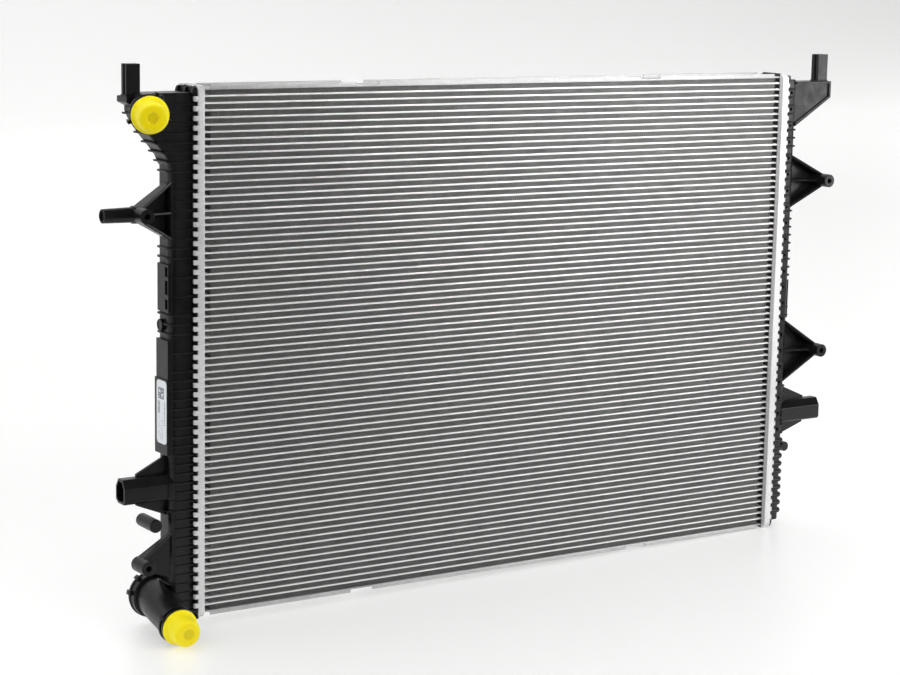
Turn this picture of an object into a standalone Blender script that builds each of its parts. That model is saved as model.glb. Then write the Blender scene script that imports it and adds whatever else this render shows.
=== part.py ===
"""Car radiator: brazed aluminium core, two header plates, two crimped plastic tanks, two capped hose ports.

X runs along the tubes, -Y is the front, +Z is up. The origin is the middle of the bottom side plate's lower face.
Lengths in the constants are millimetres; MM turns them into metres.
"""

import math

import bmesh
import bpy
from mathutils import Matrix, Vector

MM = 0.001
GAP = 0.3  # between solids that touch in the real thing

# Core
CORE_HALF = 325.0  # half the distance between the header plates
CORE_DEPTH = 26.0
TUBE_COUNT = 74
TUBE_PITCH = 6.2
TUBE_THICK = 1.7
TUBE_WALL = 0.3
TUBE_HALF_LENGTH = 328.5
FIN_HEIGHT = TUBE_PITCH - TUBE_THICK
FIN_HALF_LENGTH = 318.0
FIN_WEB = 2.0  # a solid web with about the metal of a real fin row
WEB_BITE = 0.15  # how far a web runs into the tube that it is brazed to

# Side plates
PLATE_WEB = 1.5
PLATE_FLANGE = 2.8
FIRST_TUBE_Z = PLATE_WEB + FIN_HEIGHT + TUBE_THICK / 2
LAST_TUBE_Z = FIRST_TUBE_Z + (TUBE_COUNT - 1) * TUBE_PITCH
CORE_TOP = LAST_TUBE_Z + TUBE_THICK / 2 + FIN_HEIGHT + PLATE_WEB
CORE_MID_Z = CORE_TOP / 2

# Header plates: a shallow pan whose rim is cut into tabs that fold over the tank's foot
PAN_HALF_DEPTH = 19.0
PAN_WALL = 1.5
PAN_RISE = 10.3
PAN_OVERHANG = 3.0
TAB_COUNT = 55
TAB_PITCH = 8.31
TAB_WIDTH = 5.0
TAB_ROOT = 6.5
HOOK_THICK = 1.5
HOOK_REACH = 3.5

# Gaskets and tank feet
GASKET_THICK = 2.5
GASKET_WIDTH = 3.2
FOOT_THICK = 3.6

# Tanks
TANK_HALF_DEPTH = 13.0
TANK_WALL = 2.3
TANK_BOTTOM = 3.5
TANK_TOP = CORE_TOP - TANK_BOTTOM
LEFT_CROWN = 355.3
RIGHT_CROWN = 350.0
CROWN_ROUND = 6.0
RIB_PROUD = 2.2
RIB_THICK = 1.8

# Widened top of the left tank, behind the inlet
CHAMBER_CROWN = 387.0
CHAMBER_SHOULDER_Z = 441.5
CHAMBER_FOOT_Z = 403.5
PORT_BLOCK_INNER = 354.6
PORT_BLOCK_Z = 421.5
PORT_BLOCK_FRONT = -21.0

# Top locating pins and their brackets
PIN_X = 387.1
PIN_Y = -2.7
PIN_TOP = 487.6
PIN_WIDE = 12.9
PIN_DEEP = 10.4
PIN_GROOVE = 1.8
BRACKET_END = 395.5
BRACKET_FRONT = -12.5
BRACKET_BACK = 7.4
BRACKET_TOP = 460.5

# Arm brackets with a screw boss
ARM_FRONT = -18.5
ARM_BACK = -0.9
ARM_THICK = 2.8
BOSS_X = 384.3
BOSS_FRONT = -29.0
BOSS_R = 6.6
BOSS_HOLE_R = 2.2
BOSS_HOLE_DEPTH = 18.0

# Side pin and peg on the left tank
SIDE_PIN_TIP = 417.0
SIDE_PIN_R = 6.7
SIDE_PIN_Y = -8.0
SIDE_PIN_BORE_R = 4.2
PEG_X = 371.4
PEG_Z = 85.9
PEG_R = 6.0

# Mounting sockets
SOCKET_END = 399.3
SOCKET_FRONT = -12.4
SOCKET_BACK = 6.0
SOCKET_TOP = 128.5
SOCKET_BOTTOM = 106.5
SOCKET_WALL = 2.2

# Hose ports, measured along the port's axis from the plane of the cap's brim
PORT_BORE_R = 9.3
SPIGOT_R = 11.5
SPIGOT_END = 12.5
COLLAR_R = 16.6
NECK_R = 14.3
CAP_BRIM_R = 16.1
CAP_CUP_R = 13.4
CAP_END_R = 12.2
CAP_LENGTH = 16.2
INLET_BRIM = Vector((-390.0, -47.0, 447.0))
INLET_AXIS = Vector((-0.297, -0.95, -0.094)).normalized()
OUTLET_BRIM = Vector((-368.3, -58.0, 4.5))
OUTLET_AXIS = Vector((0.0, -math.cos(math.radians(7.5)), -math.sin(math.radians(7.5))))

# Outlet elbow: a barrel across the foot of the left tank, necking down to the port
BARREL_X = -356.0
BARREL_Z = 19.0
BARREL_BACK = 23.0
BARREL_STEP = 9.0
BARREL_R = 24.0
BARREL_NECK_R = 21.0
BARREL_BORE_R = 14.0

ROUND_STEPS = 20


def clear_scene():
    for old in list(bpy.data.objects):
        bpy.data.objects.remove(old, do_unlink=True)


def material(name, colour, roughness, metallic):
    made = bpy.data.materials.new(name)
    made.use_nodes = True
    shader = made.node_tree.nodes["Principled BSDF"]
    shader.inputs["Base Color"].default_value = (*colour, 1.0)
    shader.inputs["Roughness"].default_value = roughness
    shader.inputs["Metallic"].default_value = metallic
    return made


def place(axis, a, b, along):
    """A point from two outline coordinates and a distance along the extrusion axis."""
    return {"X": (along, a, b), "Y": (a, along, b), "Z": (a, b, along)}[axis]


def prism(mesh, outline, axis, low, high):
    """Adds the outline, extruded from low to high along axis, as one closed shell."""
    rings = []
    for along in (low, high):
        rings.append([mesh.verts.new(place(axis, a, b, along)) for a, b in outline])
    faces = [mesh.faces.new(rings[0]), mesh.faces.new(rings[1])]
    count = len(outline)
    for i in range(count):
        j = (i + 1) % count
        faces.append(mesh.faces.new((rings[0][i], rings[0][j], rings[1][j], rings[1][i])))
    bmesh.ops.recalc_face_normals(mesh, faces=faces)
    return faces


def box(mesh, low, high):
    outline = [(low[0], low[1]), (high[0], low[1]), (high[0], high[1]), (low[0], high[1])]
    return prism(mesh, outline, "Z", low[2], high[2])


def side_box(mesh, side, x_low, x_high, y_low, y_high, z_low, z_high):
    """A box given by distances from the centre plane, on the left (side -1) or the right (side 1)."""
    xs = sorted((side * x_low, side * x_high))
    return box(mesh, (xs[0], y_low, z_low), (xs[1], y_high, z_high))


def mirrored(side, outline):
    """An XZ outline given for the right side, put on the side asked for."""
    return [(side * x, z) for x, z in outline]


def ring_points(radius, centre, u, v, steps=ROUND_STEPS):
    found = []
    for i in range(steps):
        turn = 2 * math.pi * i / steps
        found.append(centre + u * (radius * math.cos(turn)) + v * (radius * math.sin(turn)))
    return found


def across(axis):
    """Two directions at right angles to the axis and to each other."""
    u = axis.cross(Vector((0, 0, 1)))
    if u.length < 0.1:
        u = axis.cross(Vector((1, 0, 0)))
    u.normalize()
    return u, axis.cross(u).normalized()


def lathe(mesh, start, axis, profile, steps=ROUND_STEPS):
    """Turns (distance along, radius) pairs round the axis. A radius of 0 at an end closes it to a point."""
    u, v = across(axis)
    rings = []
    for along, radius in profile:
        centre = start + axis * along
        if radius == 0:
            rings.append([mesh.verts.new(centre)])
        else:
            rings.append([mesh.verts.new(p) for p in ring_points(radius, centre, u, v, steps)])
    return close_rings(mesh, rings)


def close_rings(mesh, rings):
    faces = []
    for first, second in zip(rings, rings[1:]):
        for i in range(max(len(first), len(second))):
            j = (i + 1) % max(len(first), len(second))
            if len(first) == 1:
                faces.append(mesh.faces.new((first[0], second[i], second[j])))
            elif len(second) == 1:
                faces.append(mesh.faces.new((first[i], first[j], second[0])))
            else:
                faces.append(mesh.faces.new((first[i], first[j], second[j], second[i])))
    for end in (rings[0], rings[-1]):
        if len(end) > 1:
            faces.append(mesh.faces.new(end))
    bmesh.ops.recalc_face_normals(mesh, faces=faces)
    return faces


def finish(name, mesh, look=None, cutter=False):
    """Makes an object of a bmesh in millimetres."""
    data = bpy.data.meshes.new(name)
    bmesh.ops.scale(mesh, vec=(MM, MM, MM), verts=mesh.verts)
    mesh.to_mesh(data)
    mesh.free()
    made = bpy.data.objects.new(name, data)
    bpy.context.scene.collection.objects.link(made)
    if look:
        data.materials.append(look)
    if cutter:
        made.hide_render = True
        made.display_type = "WIRE"
    return made


def boolean(target, operation, name, build):
    """Adds a Boolean whose operand is made by build(mesh)."""
    mesh = bmesh.new()
    build(mesh)
    operand = finish(f"{target.name}_{name}", mesh, cutter=True)
    modifier = target.modifiers.new(name, "BOOLEAN")
    modifier.operation = operation
    modifier.solver = "EXACT"
    modifier.object = operand


def smooth(made, angle=35):
    made.data.shade_smooth()
    made.data.set_sharp_from_angle(angle=math.radians(angle))


def tube_z(index):
    return FIRST_TUBE_Z + index * TUBE_PITCH


def tube_outline(z):
    """A flat tube's section in YZ, with its round edges as three-sided ends."""
    half, rise, edge = CORE_DEPTH / 2, TUBE_THICK / 2, TUBE_THICK / 2
    top = [(-half, z + rise * 0.4), (-half + edge, z + rise), (half - edge, z + rise), (half, z + rise * 0.4)]
    return top + [(y, 2 * z - height) for y, height in reversed(top)]


def fin_web(mesh, low, high):
    box(mesh, (-FIN_HALF_LENGTH, -FIN_WEB / 2, low), (FIN_HALF_LENGTH, FIN_WEB / 2, high))


def tube_pair(number, look):
    """Two tubes, the fin row between them and the one above the upper tube."""
    lower, upper = tube_z(2 * number - 2), tube_z(2 * number - 1)
    mesh = bmesh.new()
    for z in (lower, upper):
        prism(mesh, tube_outline(z), "X", -TUBE_HALF_LENGTH, TUBE_HALF_LENGTH)
    pair = finish(f"tube_pair_{number:02d}", mesh, look)
    rise = TUBE_THICK / 2

    def webs(mesh):
        fin_web(mesh, lower + rise - WEB_BITE, upper - rise + WEB_BITE)
        fin_web(mesh, upper + rise - WEB_BITE, upper + rise + FIN_HEIGHT - GAP)

    def bores(mesh):
        half = CORE_DEPTH / 2 - 2 * TUBE_WALL
        for z in (lower, upper):
            low = (-TUBE_HALF_LENGTH - 1, -half, z - rise + TUBE_WALL)
            high = (TUBE_HALF_LENGTH + 1, half, z + rise - TUBE_WALL)
            box(mesh, low, high)

    boolean(pair, "UNION", "fin_rows", webs)
    boolean(pair, "DIFFERENCE", "bores", bores)


def bottom_fin_row(look):
    mesh = bmesh.new()
    fin_web(mesh, PLATE_WEB + GAP, FIRST_TUBE_Z - TUBE_THICK / 2 - GAP)
    finish("bottom_fin_row", mesh, look)


def side_plate(name, web_low, web_high, flange_end, look):
    """A channel with its flanges pointing away from the fins, cut through at two places to let the core expand."""
    half = CORE_DEPTH / 2 + 1
    inner = half - PLATE_WEB
    web_near = web_low if flange_end > web_high else web_high
    web_far = web_high if flange_end > web_high else web_low
    outline = [(-half, web_near), (half, web_near), (half, flange_end), (inner, flange_end)]
    outline += [(inner, web_far), (-inner, web_far), (-inner, flange_end), (-half, flange_end)]
    mesh = bmesh.new()
    prism(mesh, outline, "X", -CORE_HALF + GAP, CORE_HALF - GAP)
    plate = finish(name, mesh, look)

    def cut_outs(mesh):
        for x in (-CORE_HALF / 2, CORE_HALF / 2):
            for side in (-1, 1):
                ys = sorted((side * (inner - 3), side * (half + 1)))
                zs = sorted((web_far, flange_end + math.copysign(1, flange_end - web_far)))
                box(mesh, (x - 12, ys[0], zs[0]), (x + 12, ys[1], zs[1]))

    boolean(plate, "DIFFERENCE", "expansion_cut_outs", cut_outs)


def header_plate(name, side, look):
    low, high = -PAN_OVERHANG, CORE_TOP + PAN_OVERHANG
    mesh = bmesh.new()
    side_box(mesh, side, CORE_HALF, CORE_HALF + PAN_RISE, -PAN_HALF_DEPTH, PAN_HALF_DEPTH, low, high)
    plate = finish(name, mesh, look)
    floor = CORE_HALF + PAN_WALL
    hook = CORE_HALF + PAN_RISE - HOOK_THICK
    inside = PAN_HALF_DEPTH - PAN_WALL
    mouth = PAN_HALF_DEPTH - HOOK_REACH

    def pan(mesh):
        rim = CORE_HALF + PAN_RISE + 1
        outline = [(floor, inside), (hook, inside), (hook, mouth), (rim, mouth)]
        outline += [(x, -y) for x, y in reversed(outline)]
        prism(mesh, mirrored(side, outline), "Z", low + PAN_WALL, high - PAN_WALL)

    def tab_gaps(mesh):
        start = CORE_MID_Z - TAB_COUNT * TAB_PITCH / 2
        half_gap = (TAB_PITCH - TAB_WIDTH) / 2
        for i in range(TAB_COUNT + 1):
            z = start + i * TAB_PITCH
            for y_low, y_high in ((-PAN_HALF_DEPTH - 1, -mouth + 1), (mouth - 1, PAN_HALF_DEPTH + 1)):
                x_low = CORE_HALF + TAB_ROOT
                side_box(mesh, side, x_low, x_low + PAN_RISE, y_low, y_high, z - half_gap, z + half_gap)

    def tube_slots(mesh):
        half = CORE_DEPTH / 2 + GAP
        rise = TUBE_THICK / 2 + GAP
        for i in range(TUBE_COUNT):
            z = tube_z(i)
            side_box(mesh, side, CORE_HALF - 1, floor + 1, -half, half, z - rise, z + rise)

    boolean(plate, "DIFFERENCE", "pan", pan)
    boolean(plate, "DIFFERENCE", "tab_gaps", tab_gaps)
    boolean(plate, "DIFFERENCE", "tube_slots", tube_slots)


def pan_inside():
    """(half depth, lowest z, highest z) of what fits inside a header pan."""
    half = PAN_HALF_DEPTH - PAN_WALL - GAP
    return half, -PAN_OVERHANG + PAN_WALL + GAP, CORE_TOP + PAN_OVERHANG - PAN_WALL - GAP


def gasket(name, side, look, with_bar):
    near = CORE_HALF + PAN_WALL + GAP
    half, low, high = pan_inside()
    mesh = bmesh.new()
    side_box(mesh, side, near, near + GASKET_THICK, -half, half, low, high)
    ring = finish(name, mesh, look)
    inner = half - GASKET_WIDTH
    windows = [(low + GASKET_WIDTH, high - GASKET_WIDTH)]
    if with_bar:
        bar = FIN_HEIGHT / 2 - 2 * GAP
        windows = [(low + GASKET_WIDTH, CORE_MID_Z - bar), (CORE_MID_Z + bar, high - GASKET_WIDTH)]

    def window(mesh):
        for z_low, z_high in windows:
            side_box(mesh, side, near - 1, near + GASKET_THICK + 1, -inner, inner, z_low, z_high)

    boolean(ring, "DIFFERENCE", "window", window)


def foot_span():
    near = CORE_HALF + PAN_WALL + GASKET_THICK + 2 * GAP
    return near, near + FOOT_THICK


def rounded_outline(outline, corners, radius, steps=3):
    """The outline with the named corners replaced by arcs."""
    found = []
    count = len(outline)
    for i, point in enumerate(outline):
        here = Vector(point)
        if i not in corners:
            found.append(point)
            continue
        before = (Vector(outline[i - 1]) - here).normalized()
        after = (Vector(outline[(i + 1) % count]) - here).normalized()
        half_angle = before.angle(after) / 2
        reach = radius / math.tan(half_angle)
        centre = here + (before + after).normalized() * (radius / math.sin(half_angle))
        start, end = here + before * reach, here + after * reach
        for k in range(steps + 1):
            leg = (start - centre).lerp(end - centre, k / steps)
            found.append(tuple(centre + leg.normalized() * radius))
    return found


def tank_section(crown, grow=0.0):
    """A tank's XY section for the right side, from the foot out to the crown."""
    half = TANK_HALF_DEPTH + grow
    near = foot_span()[1] - 1
    outline = [(near, -half), (crown + grow, -half), (crown + grow, half), (near, half)]
    return rounded_outline(outline, (1, 2), CROWN_ROUND)


def tank_shell(name, side, crown, look):
    """The tank's straight body, its foot and its ribs, with the inside cut out last."""
    mesh = bmesh.new()
    prism(mesh, mirrored(side, tank_section(crown)), "Z", TANK_BOTTOM, TANK_TOP)
    tank = finish(name, mesh, look)
    near, far = foot_span()
    half, low, high = pan_inside()

    def foot(mesh):
        side_box(mesh, side, near, far, -half, half, low, high)

    boolean(tank, "UNION", "foot", foot)
    return tank


def crown_ribs(tank, side, crown, spans):
    """Ribs across the crown, one at each gap between crimp tabs, inside the given spans of z."""

    def ribs(mesh):
        start = CORE_MID_Z - TAB_COUNT * TAB_PITCH / 2
        across_half = TANK_HALF_DEPTH - CROWN_ROUND / 2
        for i in range(TAB_COUNT + 1):
            z = start + i * TAB_PITCH
            if any(low < z < high for low, high in spans):
                side_box(
                    mesh, side, crown - 1, crown + RIB_PROUD, -across_half, across_half,
                    z - RIB_THICK / 2, z + RIB_THICK / 2,
                )

    boolean(tank, "UNION", "ribs", ribs)


def hollow(tank, side, crown, parting=None):
    """Cuts the coolant space, open towards the header. A parting leaves a wall across it at that height."""
    near = foot_span()[0]
    low, high = TANK_BOTTOM + TANK_WALL, TANK_TOP - TANK_WALL
    spans = [(low, high)]
    if parting:
        spans = [(low, parting - TANK_WALL / 2), (parting + TANK_WALL / 2, high)]

    def inside(mesh):
        half = TANK_HALF_DEPTH - TANK_WALL
        for z_low, z_high in spans:
            side_box(mesh, side, near - 1, crown - TANK_WALL, -half, half, z_low, z_high)

    boolean(tank, "DIFFERENCE", "inside", inside)


def arm_bracket(mesh, side, crown, boss_z, base_low, base_high):
    """Two arms meeting at a screw boss, with a web behind them and a rib between, as overlapping shells."""
    root = crown - 1.2
    tip = BOSS_X
    outer = [(root, base_low), (tip, boss_z - BOSS_R), (tip, boss_z + BOSS_R), (root, base_high)]
    prism(mesh, mirrored(side, outer), "Y", ARM_FRONT, ARM_BACK)


def arm_pockets(mesh, side, crown, boss_z, base_low, base_high):
    """The two pockets between the arms, the web and the middle rib."""
    root = crown + 0.2
    tip = BOSS_X - BOSS_R - 1.5
    slope_low = (boss_z - BOSS_R - base_low) / (BOSS_X - crown)
    slope_high = (base_high - boss_z - BOSS_R) / (BOSS_X - crown)
    for sign, base, slope in ((-1, base_low, slope_low), (1, base_high, slope_high)):
        rib_edge = boss_z + sign * ARM_THICK / 2
        root_edge = base - sign * (ARM_THICK * math.hypot(1, slope))
        tip_edge = root_edge - sign * slope * (tip - root)
        if sign * (tip_edge - rib_edge) < 0.5:
            tip_edge = rib_edge + sign * 0.5
        outline = [(root, rib_edge), (tip, rib_edge), (tip, tip_edge), (root, root_edge)]
        prism(mesh, mirrored(side, outline), "Y", ARM_FRONT - 1, ARM_BACK - ARM_THICK)


def boss(mesh, side, z):
    start = Vector((side * BOSS_X, BOSS_FRONT, z))
    lathe(mesh, start, Vector((0, 1, 0)), [(0, BOSS_R), (ARM_BACK - BOSS_FRONT, BOSS_R)])


def boss_hole(mesh, side, z):
    start = Vector((side * BOSS_X, BOSS_FRONT - 1, z))
    lathe(mesh, start, Vector((0, 1, 0)), [(0, BOSS_HOLE_R), (BOSS_HOLE_DEPTH + 1, BOSS_HOLE_R)], 12)


def brackets(tank, side, crown, rows):
    """Adds the arm brackets given as (boss z, lowest root z, highest root z)."""

    def arms(mesh):
        for row in rows:
            arm_bracket(mesh, side, crown, *row)

    def bosses(mesh):
        for row in rows:
            boss(mesh, side, row[0])

    def pockets(mesh):
        for row in rows:
            arm_pockets(mesh, side, crown, *row)

    def holes(mesh):
        for row in rows:
            boss_hole(mesh, side, row[0])

    boolean(tank, "UNION", "arms", arms)
    boolean(tank, "DIFFERENCE", "pockets", pockets)
    boolean(tank, "UNION", "bosses", bosses)
    boolean(tank, "DIFFERENCE", "boss_holes", holes)


def top_pin(tank, side, under):
    """The bracket block at the top corner and the grooved locating pin that stands on it."""

    def block(mesh):
        prism(mesh, mirrored(side, under), "Y", BRACKET_FRONT, BRACKET_BACK)

    def pin(mesh):
        x, y = PIN_WIDE / 2, PIN_DEEP / 2
        neck = x - PIN_GROOVE
        half = [(x, -y), (x, -y + 3), (neck, -y + 3), (neck, -y + 6), (x, -y + 6), (x, y)]
        outline = half + [(-a, b) for a, b in reversed(half)]
        placed = [(side * PIN_X + a, PIN_Y + b) for a, b in outline]
        prism(mesh, placed, "Z", BRACKET_TOP - 2, PIN_TOP)

    boolean(tank, "UNION", "bracket_block", block)
    boolean(tank, "UNION", "top_pin", pin)


def left_tank(look):
    side = -1
    tank = tank_shell("left_tank", side, LEFT_CROWN, look)
    chamber = [(345, CHAMBER_FOOT_Z - 14), (LEFT_CROWN - 1, CHAMBER_FOOT_Z - 1), (LEFT_CROWN, CHAMBER_FOOT_Z)]
    chamber += [(CHAMBER_CROWN - 3, CHAMBER_SHOULDER_Z), (CHAMBER_CROWN, CHAMBER_SHOULDER_Z + 6)]
    chamber += [(CHAMBER_CROWN, TANK_TOP), (345, TANK_TOP)]
    chamber_inside = [(340, CHAMBER_FOOT_Z + 2), (LEFT_CROWN - TANK_WALL, CHAMBER_FOOT_Z + 2)]
    chamber_inside += [(CHAMBER_CROWN - 6, CHAMBER_SHOULDER_Z + 3), (CHAMBER_CROWN - TANK_WALL, TANK_TOP - 12)]
    chamber_inside += [(CHAMBER_CROWN - TANK_WALL, TANK_TOP - TANK_WALL), (340, TANK_TOP - TANK_WALL)]

    def widening(mesh):
        prism(mesh, mirrored(side, chamber), "Y", -TANK_HALF_DEPTH + 0.5, TANK_HALF_DEPTH - 0.5)

    def port_block(mesh):
        outline = [(PORT_BLOCK_INNER, PORT_BLOCK_Z), (CHAMBER_CROWN - 18, PORT_BLOCK_Z)]
        outline += [(CHAMBER_CROWN, CHAMBER_SHOULDER_Z + 2), (CHAMBER_CROWN, TANK_TOP - 1)]
        outline += [(PORT_BLOCK_INNER, TANK_TOP - 1)]
        prism(mesh, mirrored(side, outline), "Y", PORT_BLOCK_FRONT, 0)

    def chamber_space(mesh):
        half = TANK_HALF_DEPTH - TANK_WALL
        prism(mesh, mirrored(side, chamber_inside), "Y", -half + 0.7, half - 0.7)

    def port_holes(mesh):
        lathe(mesh, INLET_BRIM - INLET_AXIS * 45, INLET_AXIS, [(0, PORT_BORE_R), (30, PORT_BORE_R)])
        x_axis = Vector((-1, 0, 0))
        start = Vector((-LEFT_CROWN + 8, 0, BARREL_Z))
        lathe(mesh, start, x_axis, [(0, PORT_BORE_R), (20, PORT_BORE_R)])

    def side_pin(mesh):
        start = Vector((-BOSS_X + 6, SIDE_PIN_Y, UPPER_LEFT_ARM[0]))
        reach = SIDE_PIN_TIP - BOSS_X + 6
        profile = [(0, SIDE_PIN_R + 1), (9, SIDE_PIN_R + 1), (9.5, SIDE_PIN_R), (reach, SIDE_PIN_R - 0.5)]
        lathe(mesh, start, Vector((-1, 0, 0)), profile)

    def pin_bore(mesh):
        start = Vector((-SIDE_PIN_TIP - 1, SIDE_PIN_Y, UPPER_LEFT_ARM[0]))
        lathe(mesh, start, Vector((1, 0, 0)), [(0, SIDE_PIN_BORE_R), (21, SIDE_PIN_BORE_R)], 12)

    def peg(mesh):
        start = Vector((-PEG_X, -17, PEG_Z))
        lathe(mesh, start, Vector((0, 1, 0)), [(0, PEG_R), (29.5, PEG_R)])

    def peg_web(mesh):
        side_box(mesh, side, LEFT_CROWN - 1, PEG_X, -11, 11, PEG_Z - 1.5, PEG_Z + 1.5)

    def low_arm(mesh):
        outline = [(LEFT_CROWN - 1, 36), (381, 36), (BOSS_X + BOSS_R, 50), (BOSS_X + 2, 58.3)]
        outline += [(LEFT_CROWN - 1, 78)]
        prism(mesh, mirrored(side, outline), "Y", ARM_FRONT, ARM_BACK)

    def low_pocket(mesh):
        outline = [(LEFT_CROWN + 0.2, 39), (378.5, 39), (377, 58), (LEFT_CROWN + 0.2, 73.6)]
        prism(mesh, mirrored(side, outline), "Y", ARM_FRONT - 1, ARM_BACK - ARM_THICK)

    def low_boss(mesh):
        boss(mesh, side, LOW_BOSS_Z)

    def low_boss_hole(mesh):
        boss_hole(mesh, side, LOW_BOSS_Z)

    boolean(tank, "UNION", "widening", widening)
    boolean(tank, "UNION", "port_block", port_block)
    crown_ribs(tank, side, LEFT_CROWN, ((5, 34), (80, 81), (96, 102), (150, 335), (389, 401)))
    hollow(tank, side, LEFT_CROWN, CORE_MID_Z)
    boolean(tank, "DIFFERENCE", "chamber_space", chamber_space)
    boolean(tank, "DIFFERENCE", "port_holes", port_holes)
    brackets(tank, side, LEFT_CROWN, [UPPER_LEFT_ARM])
    boolean(tank, "UNION", "low_arm", low_arm)
    boolean(tank, "DIFFERENCE", "low_pocket", low_pocket)
    boolean(tank, "UNION", "low_boss", low_boss)
    boolean(tank, "DIFFERENCE", "low_boss_hole", low_boss_hole)
    boolean(tank, "UNION", "side_pin", side_pin)
    boolean(tank, "DIFFERENCE", "pin_bore", pin_bore)
    boolean(tank, "UNION", "peg", peg)
    boolean(tank, "UNION", "peg_web", peg_web)
    under = [(CHAMBER_CROWN - 2, 450), (BRACKET_END, 455.2), (BRACKET_END, BRACKET_TOP)]
    under += [(CHAMBER_CROWN - 2, BRACKET_TOP)]
    top_pin(tank, side, under)
    smooth(tank)


def right_tank(look):
    side = 1
    tank = tank_shell("right_tank", side, RIGHT_CROWN, look)
    crown_ribs(tank, side, RIGHT_CROWN, ((5, 88), (150, 151), (258, 330), (388, 412)))
    hollow(tank, side, RIGHT_CROWN)
    brackets(tank, side, RIGHT_CROWN, [UPPER_RIGHT_ARM, LOWER_RIGHT_ARM])
    under = [(RIGHT_CROWN - 1.2, 415), (BRACKET_END, 443.8), (BRACKET_END, BRACKET_TOP)]
    under += [(RIGHT_CROWN - 1.2, BRACKET_TOP)]
    top_pin(tank, side, under)

    def low_knob(mesh):
        start = Vector((358, -6, 79.5))
        lathe(mesh, start, Vector((0, 1, 0)), [(0, 5), (18.5, 5)], 12)

    def knob_web(mesh):
        side_box(mesh, side, RIGHT_CROWN - 1, 358, -4, 11, 78, 81)

    boolean(tank, "UNION", "low_knob", low_knob)
    boolean(tank, "UNION", "knob_web", knob_web)
    smooth(tank)


def socket_outline(shrink=0.0):
    """The socket's section in YZ: a box with its edges cut off."""
    front, back = SOCKET_FRONT + shrink, SOCKET_BACK - shrink
    low, high = SOCKET_BOTTOM + shrink, SOCKET_TOP - shrink
    cut = 4.6 - 0.6 * shrink
    tall = 7.2 - 0.6 * shrink
    points = [(front + 2, low), (back - cut, low), (back, low + 3), (back, high - tall)]
    points += [(back - cut, high), (front + cut, high), (front, high - tall), (front, low + 2)]
    return points


def mount_socket(name, side, crown, look):
    """The octagonal socket with the gusset plate that carries it. It is moulded with the tank in the real thing."""
    near = crown + RIB_PROUD + GAP
    mesh = bmesh.new()
    ends = sorted((side * near, side * SOCKET_END))
    prism(mesh, socket_outline(), "X", *ends)
    socket = finish(name, mesh, look)

    def gusset(mesh):
        outline = [(near, 91), (384, 103), (384, 131), (near, 146)]
        prism(mesh, mirrored(side, outline), "Y", -3.5, 0)

    def mouth(mesh):
        ends = sorted((side * (near + 5), side * (SOCKET_END + 1)))
        prism(mesh, socket_outline(SOCKET_WALL), "X", *ends)

    boolean(socket, "UNION", "gusset", gusset)
    boolean(socket, "DIFFERENCE", "mouth", mouth)


def spigot_profile(start):
    """(distance from the brim plane, radius) along the outside of a port that begins at start."""
    profile = [(start, NECK_R), (-10.4, NECK_R), (-10.4, COLLAR_R), (-7.6, COLLAR_R)]
    profile += [(-7.6, NECK_R), (-5.2, NECK_R), (-5.2, COLLAR_R - 0.4), (-2.6, COLLAR_R - 0.4)]
    profile += [(-2.6, SPIGOT_R), (SPIGOT_END - 1, SPIGOT_R), (SPIGOT_END, SPIGOT_R - 0.8)]
    return profile


def inlet_port(look):
    """The inlet's spigot, cut flat where it stands on the tank's port block."""
    mesh = bmesh.new()
    lathe(mesh, INLET_BRIM, INLET_AXIS, spigot_profile(-34))
    port = finish("inlet_port", mesh, look)

    def block(mesh):
        box(mesh, (-430, PORT_BLOCK_FRONT - GAP, 400), (-330, 40, 500))

    def bore(mesh):
        lathe(mesh, INLET_BRIM, INLET_AXIS, [(-45, PORT_BORE_R), (SPIGOT_END + 1, PORT_BORE_R)])

    boolean(port, "DIFFERENCE", "block", block)
    boolean(port, "DIFFERENCE", "bore", bore)
    smooth(port)


def barrel_rings():
    """Ring centres, radii and axes of the elbow from its closed back to the port's neck."""
    back = Vector((0, -1, 0))
    centre = Vector((BARREL_X, BARREL_BACK, BARREL_Z))
    neck = OUTLET_BRIM - OUTLET_AXIS * 10.4
    step = Vector((BARREL_X, BARREL_STEP, BARREL_Z))
    return [
        (centre, BARREL_R - 3, back),
        (centre + back * 2, BARREL_R, back),
        (step, BARREL_R, back),
        (step, BARREL_NECK_R, back),
        (Vector((BARREL_X - 1, 1, BARREL_Z - 1)), BARREL_NECK_R, back),
        (neck, NECK_R + 0.6, OUTLET_AXIS),
    ]


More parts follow.
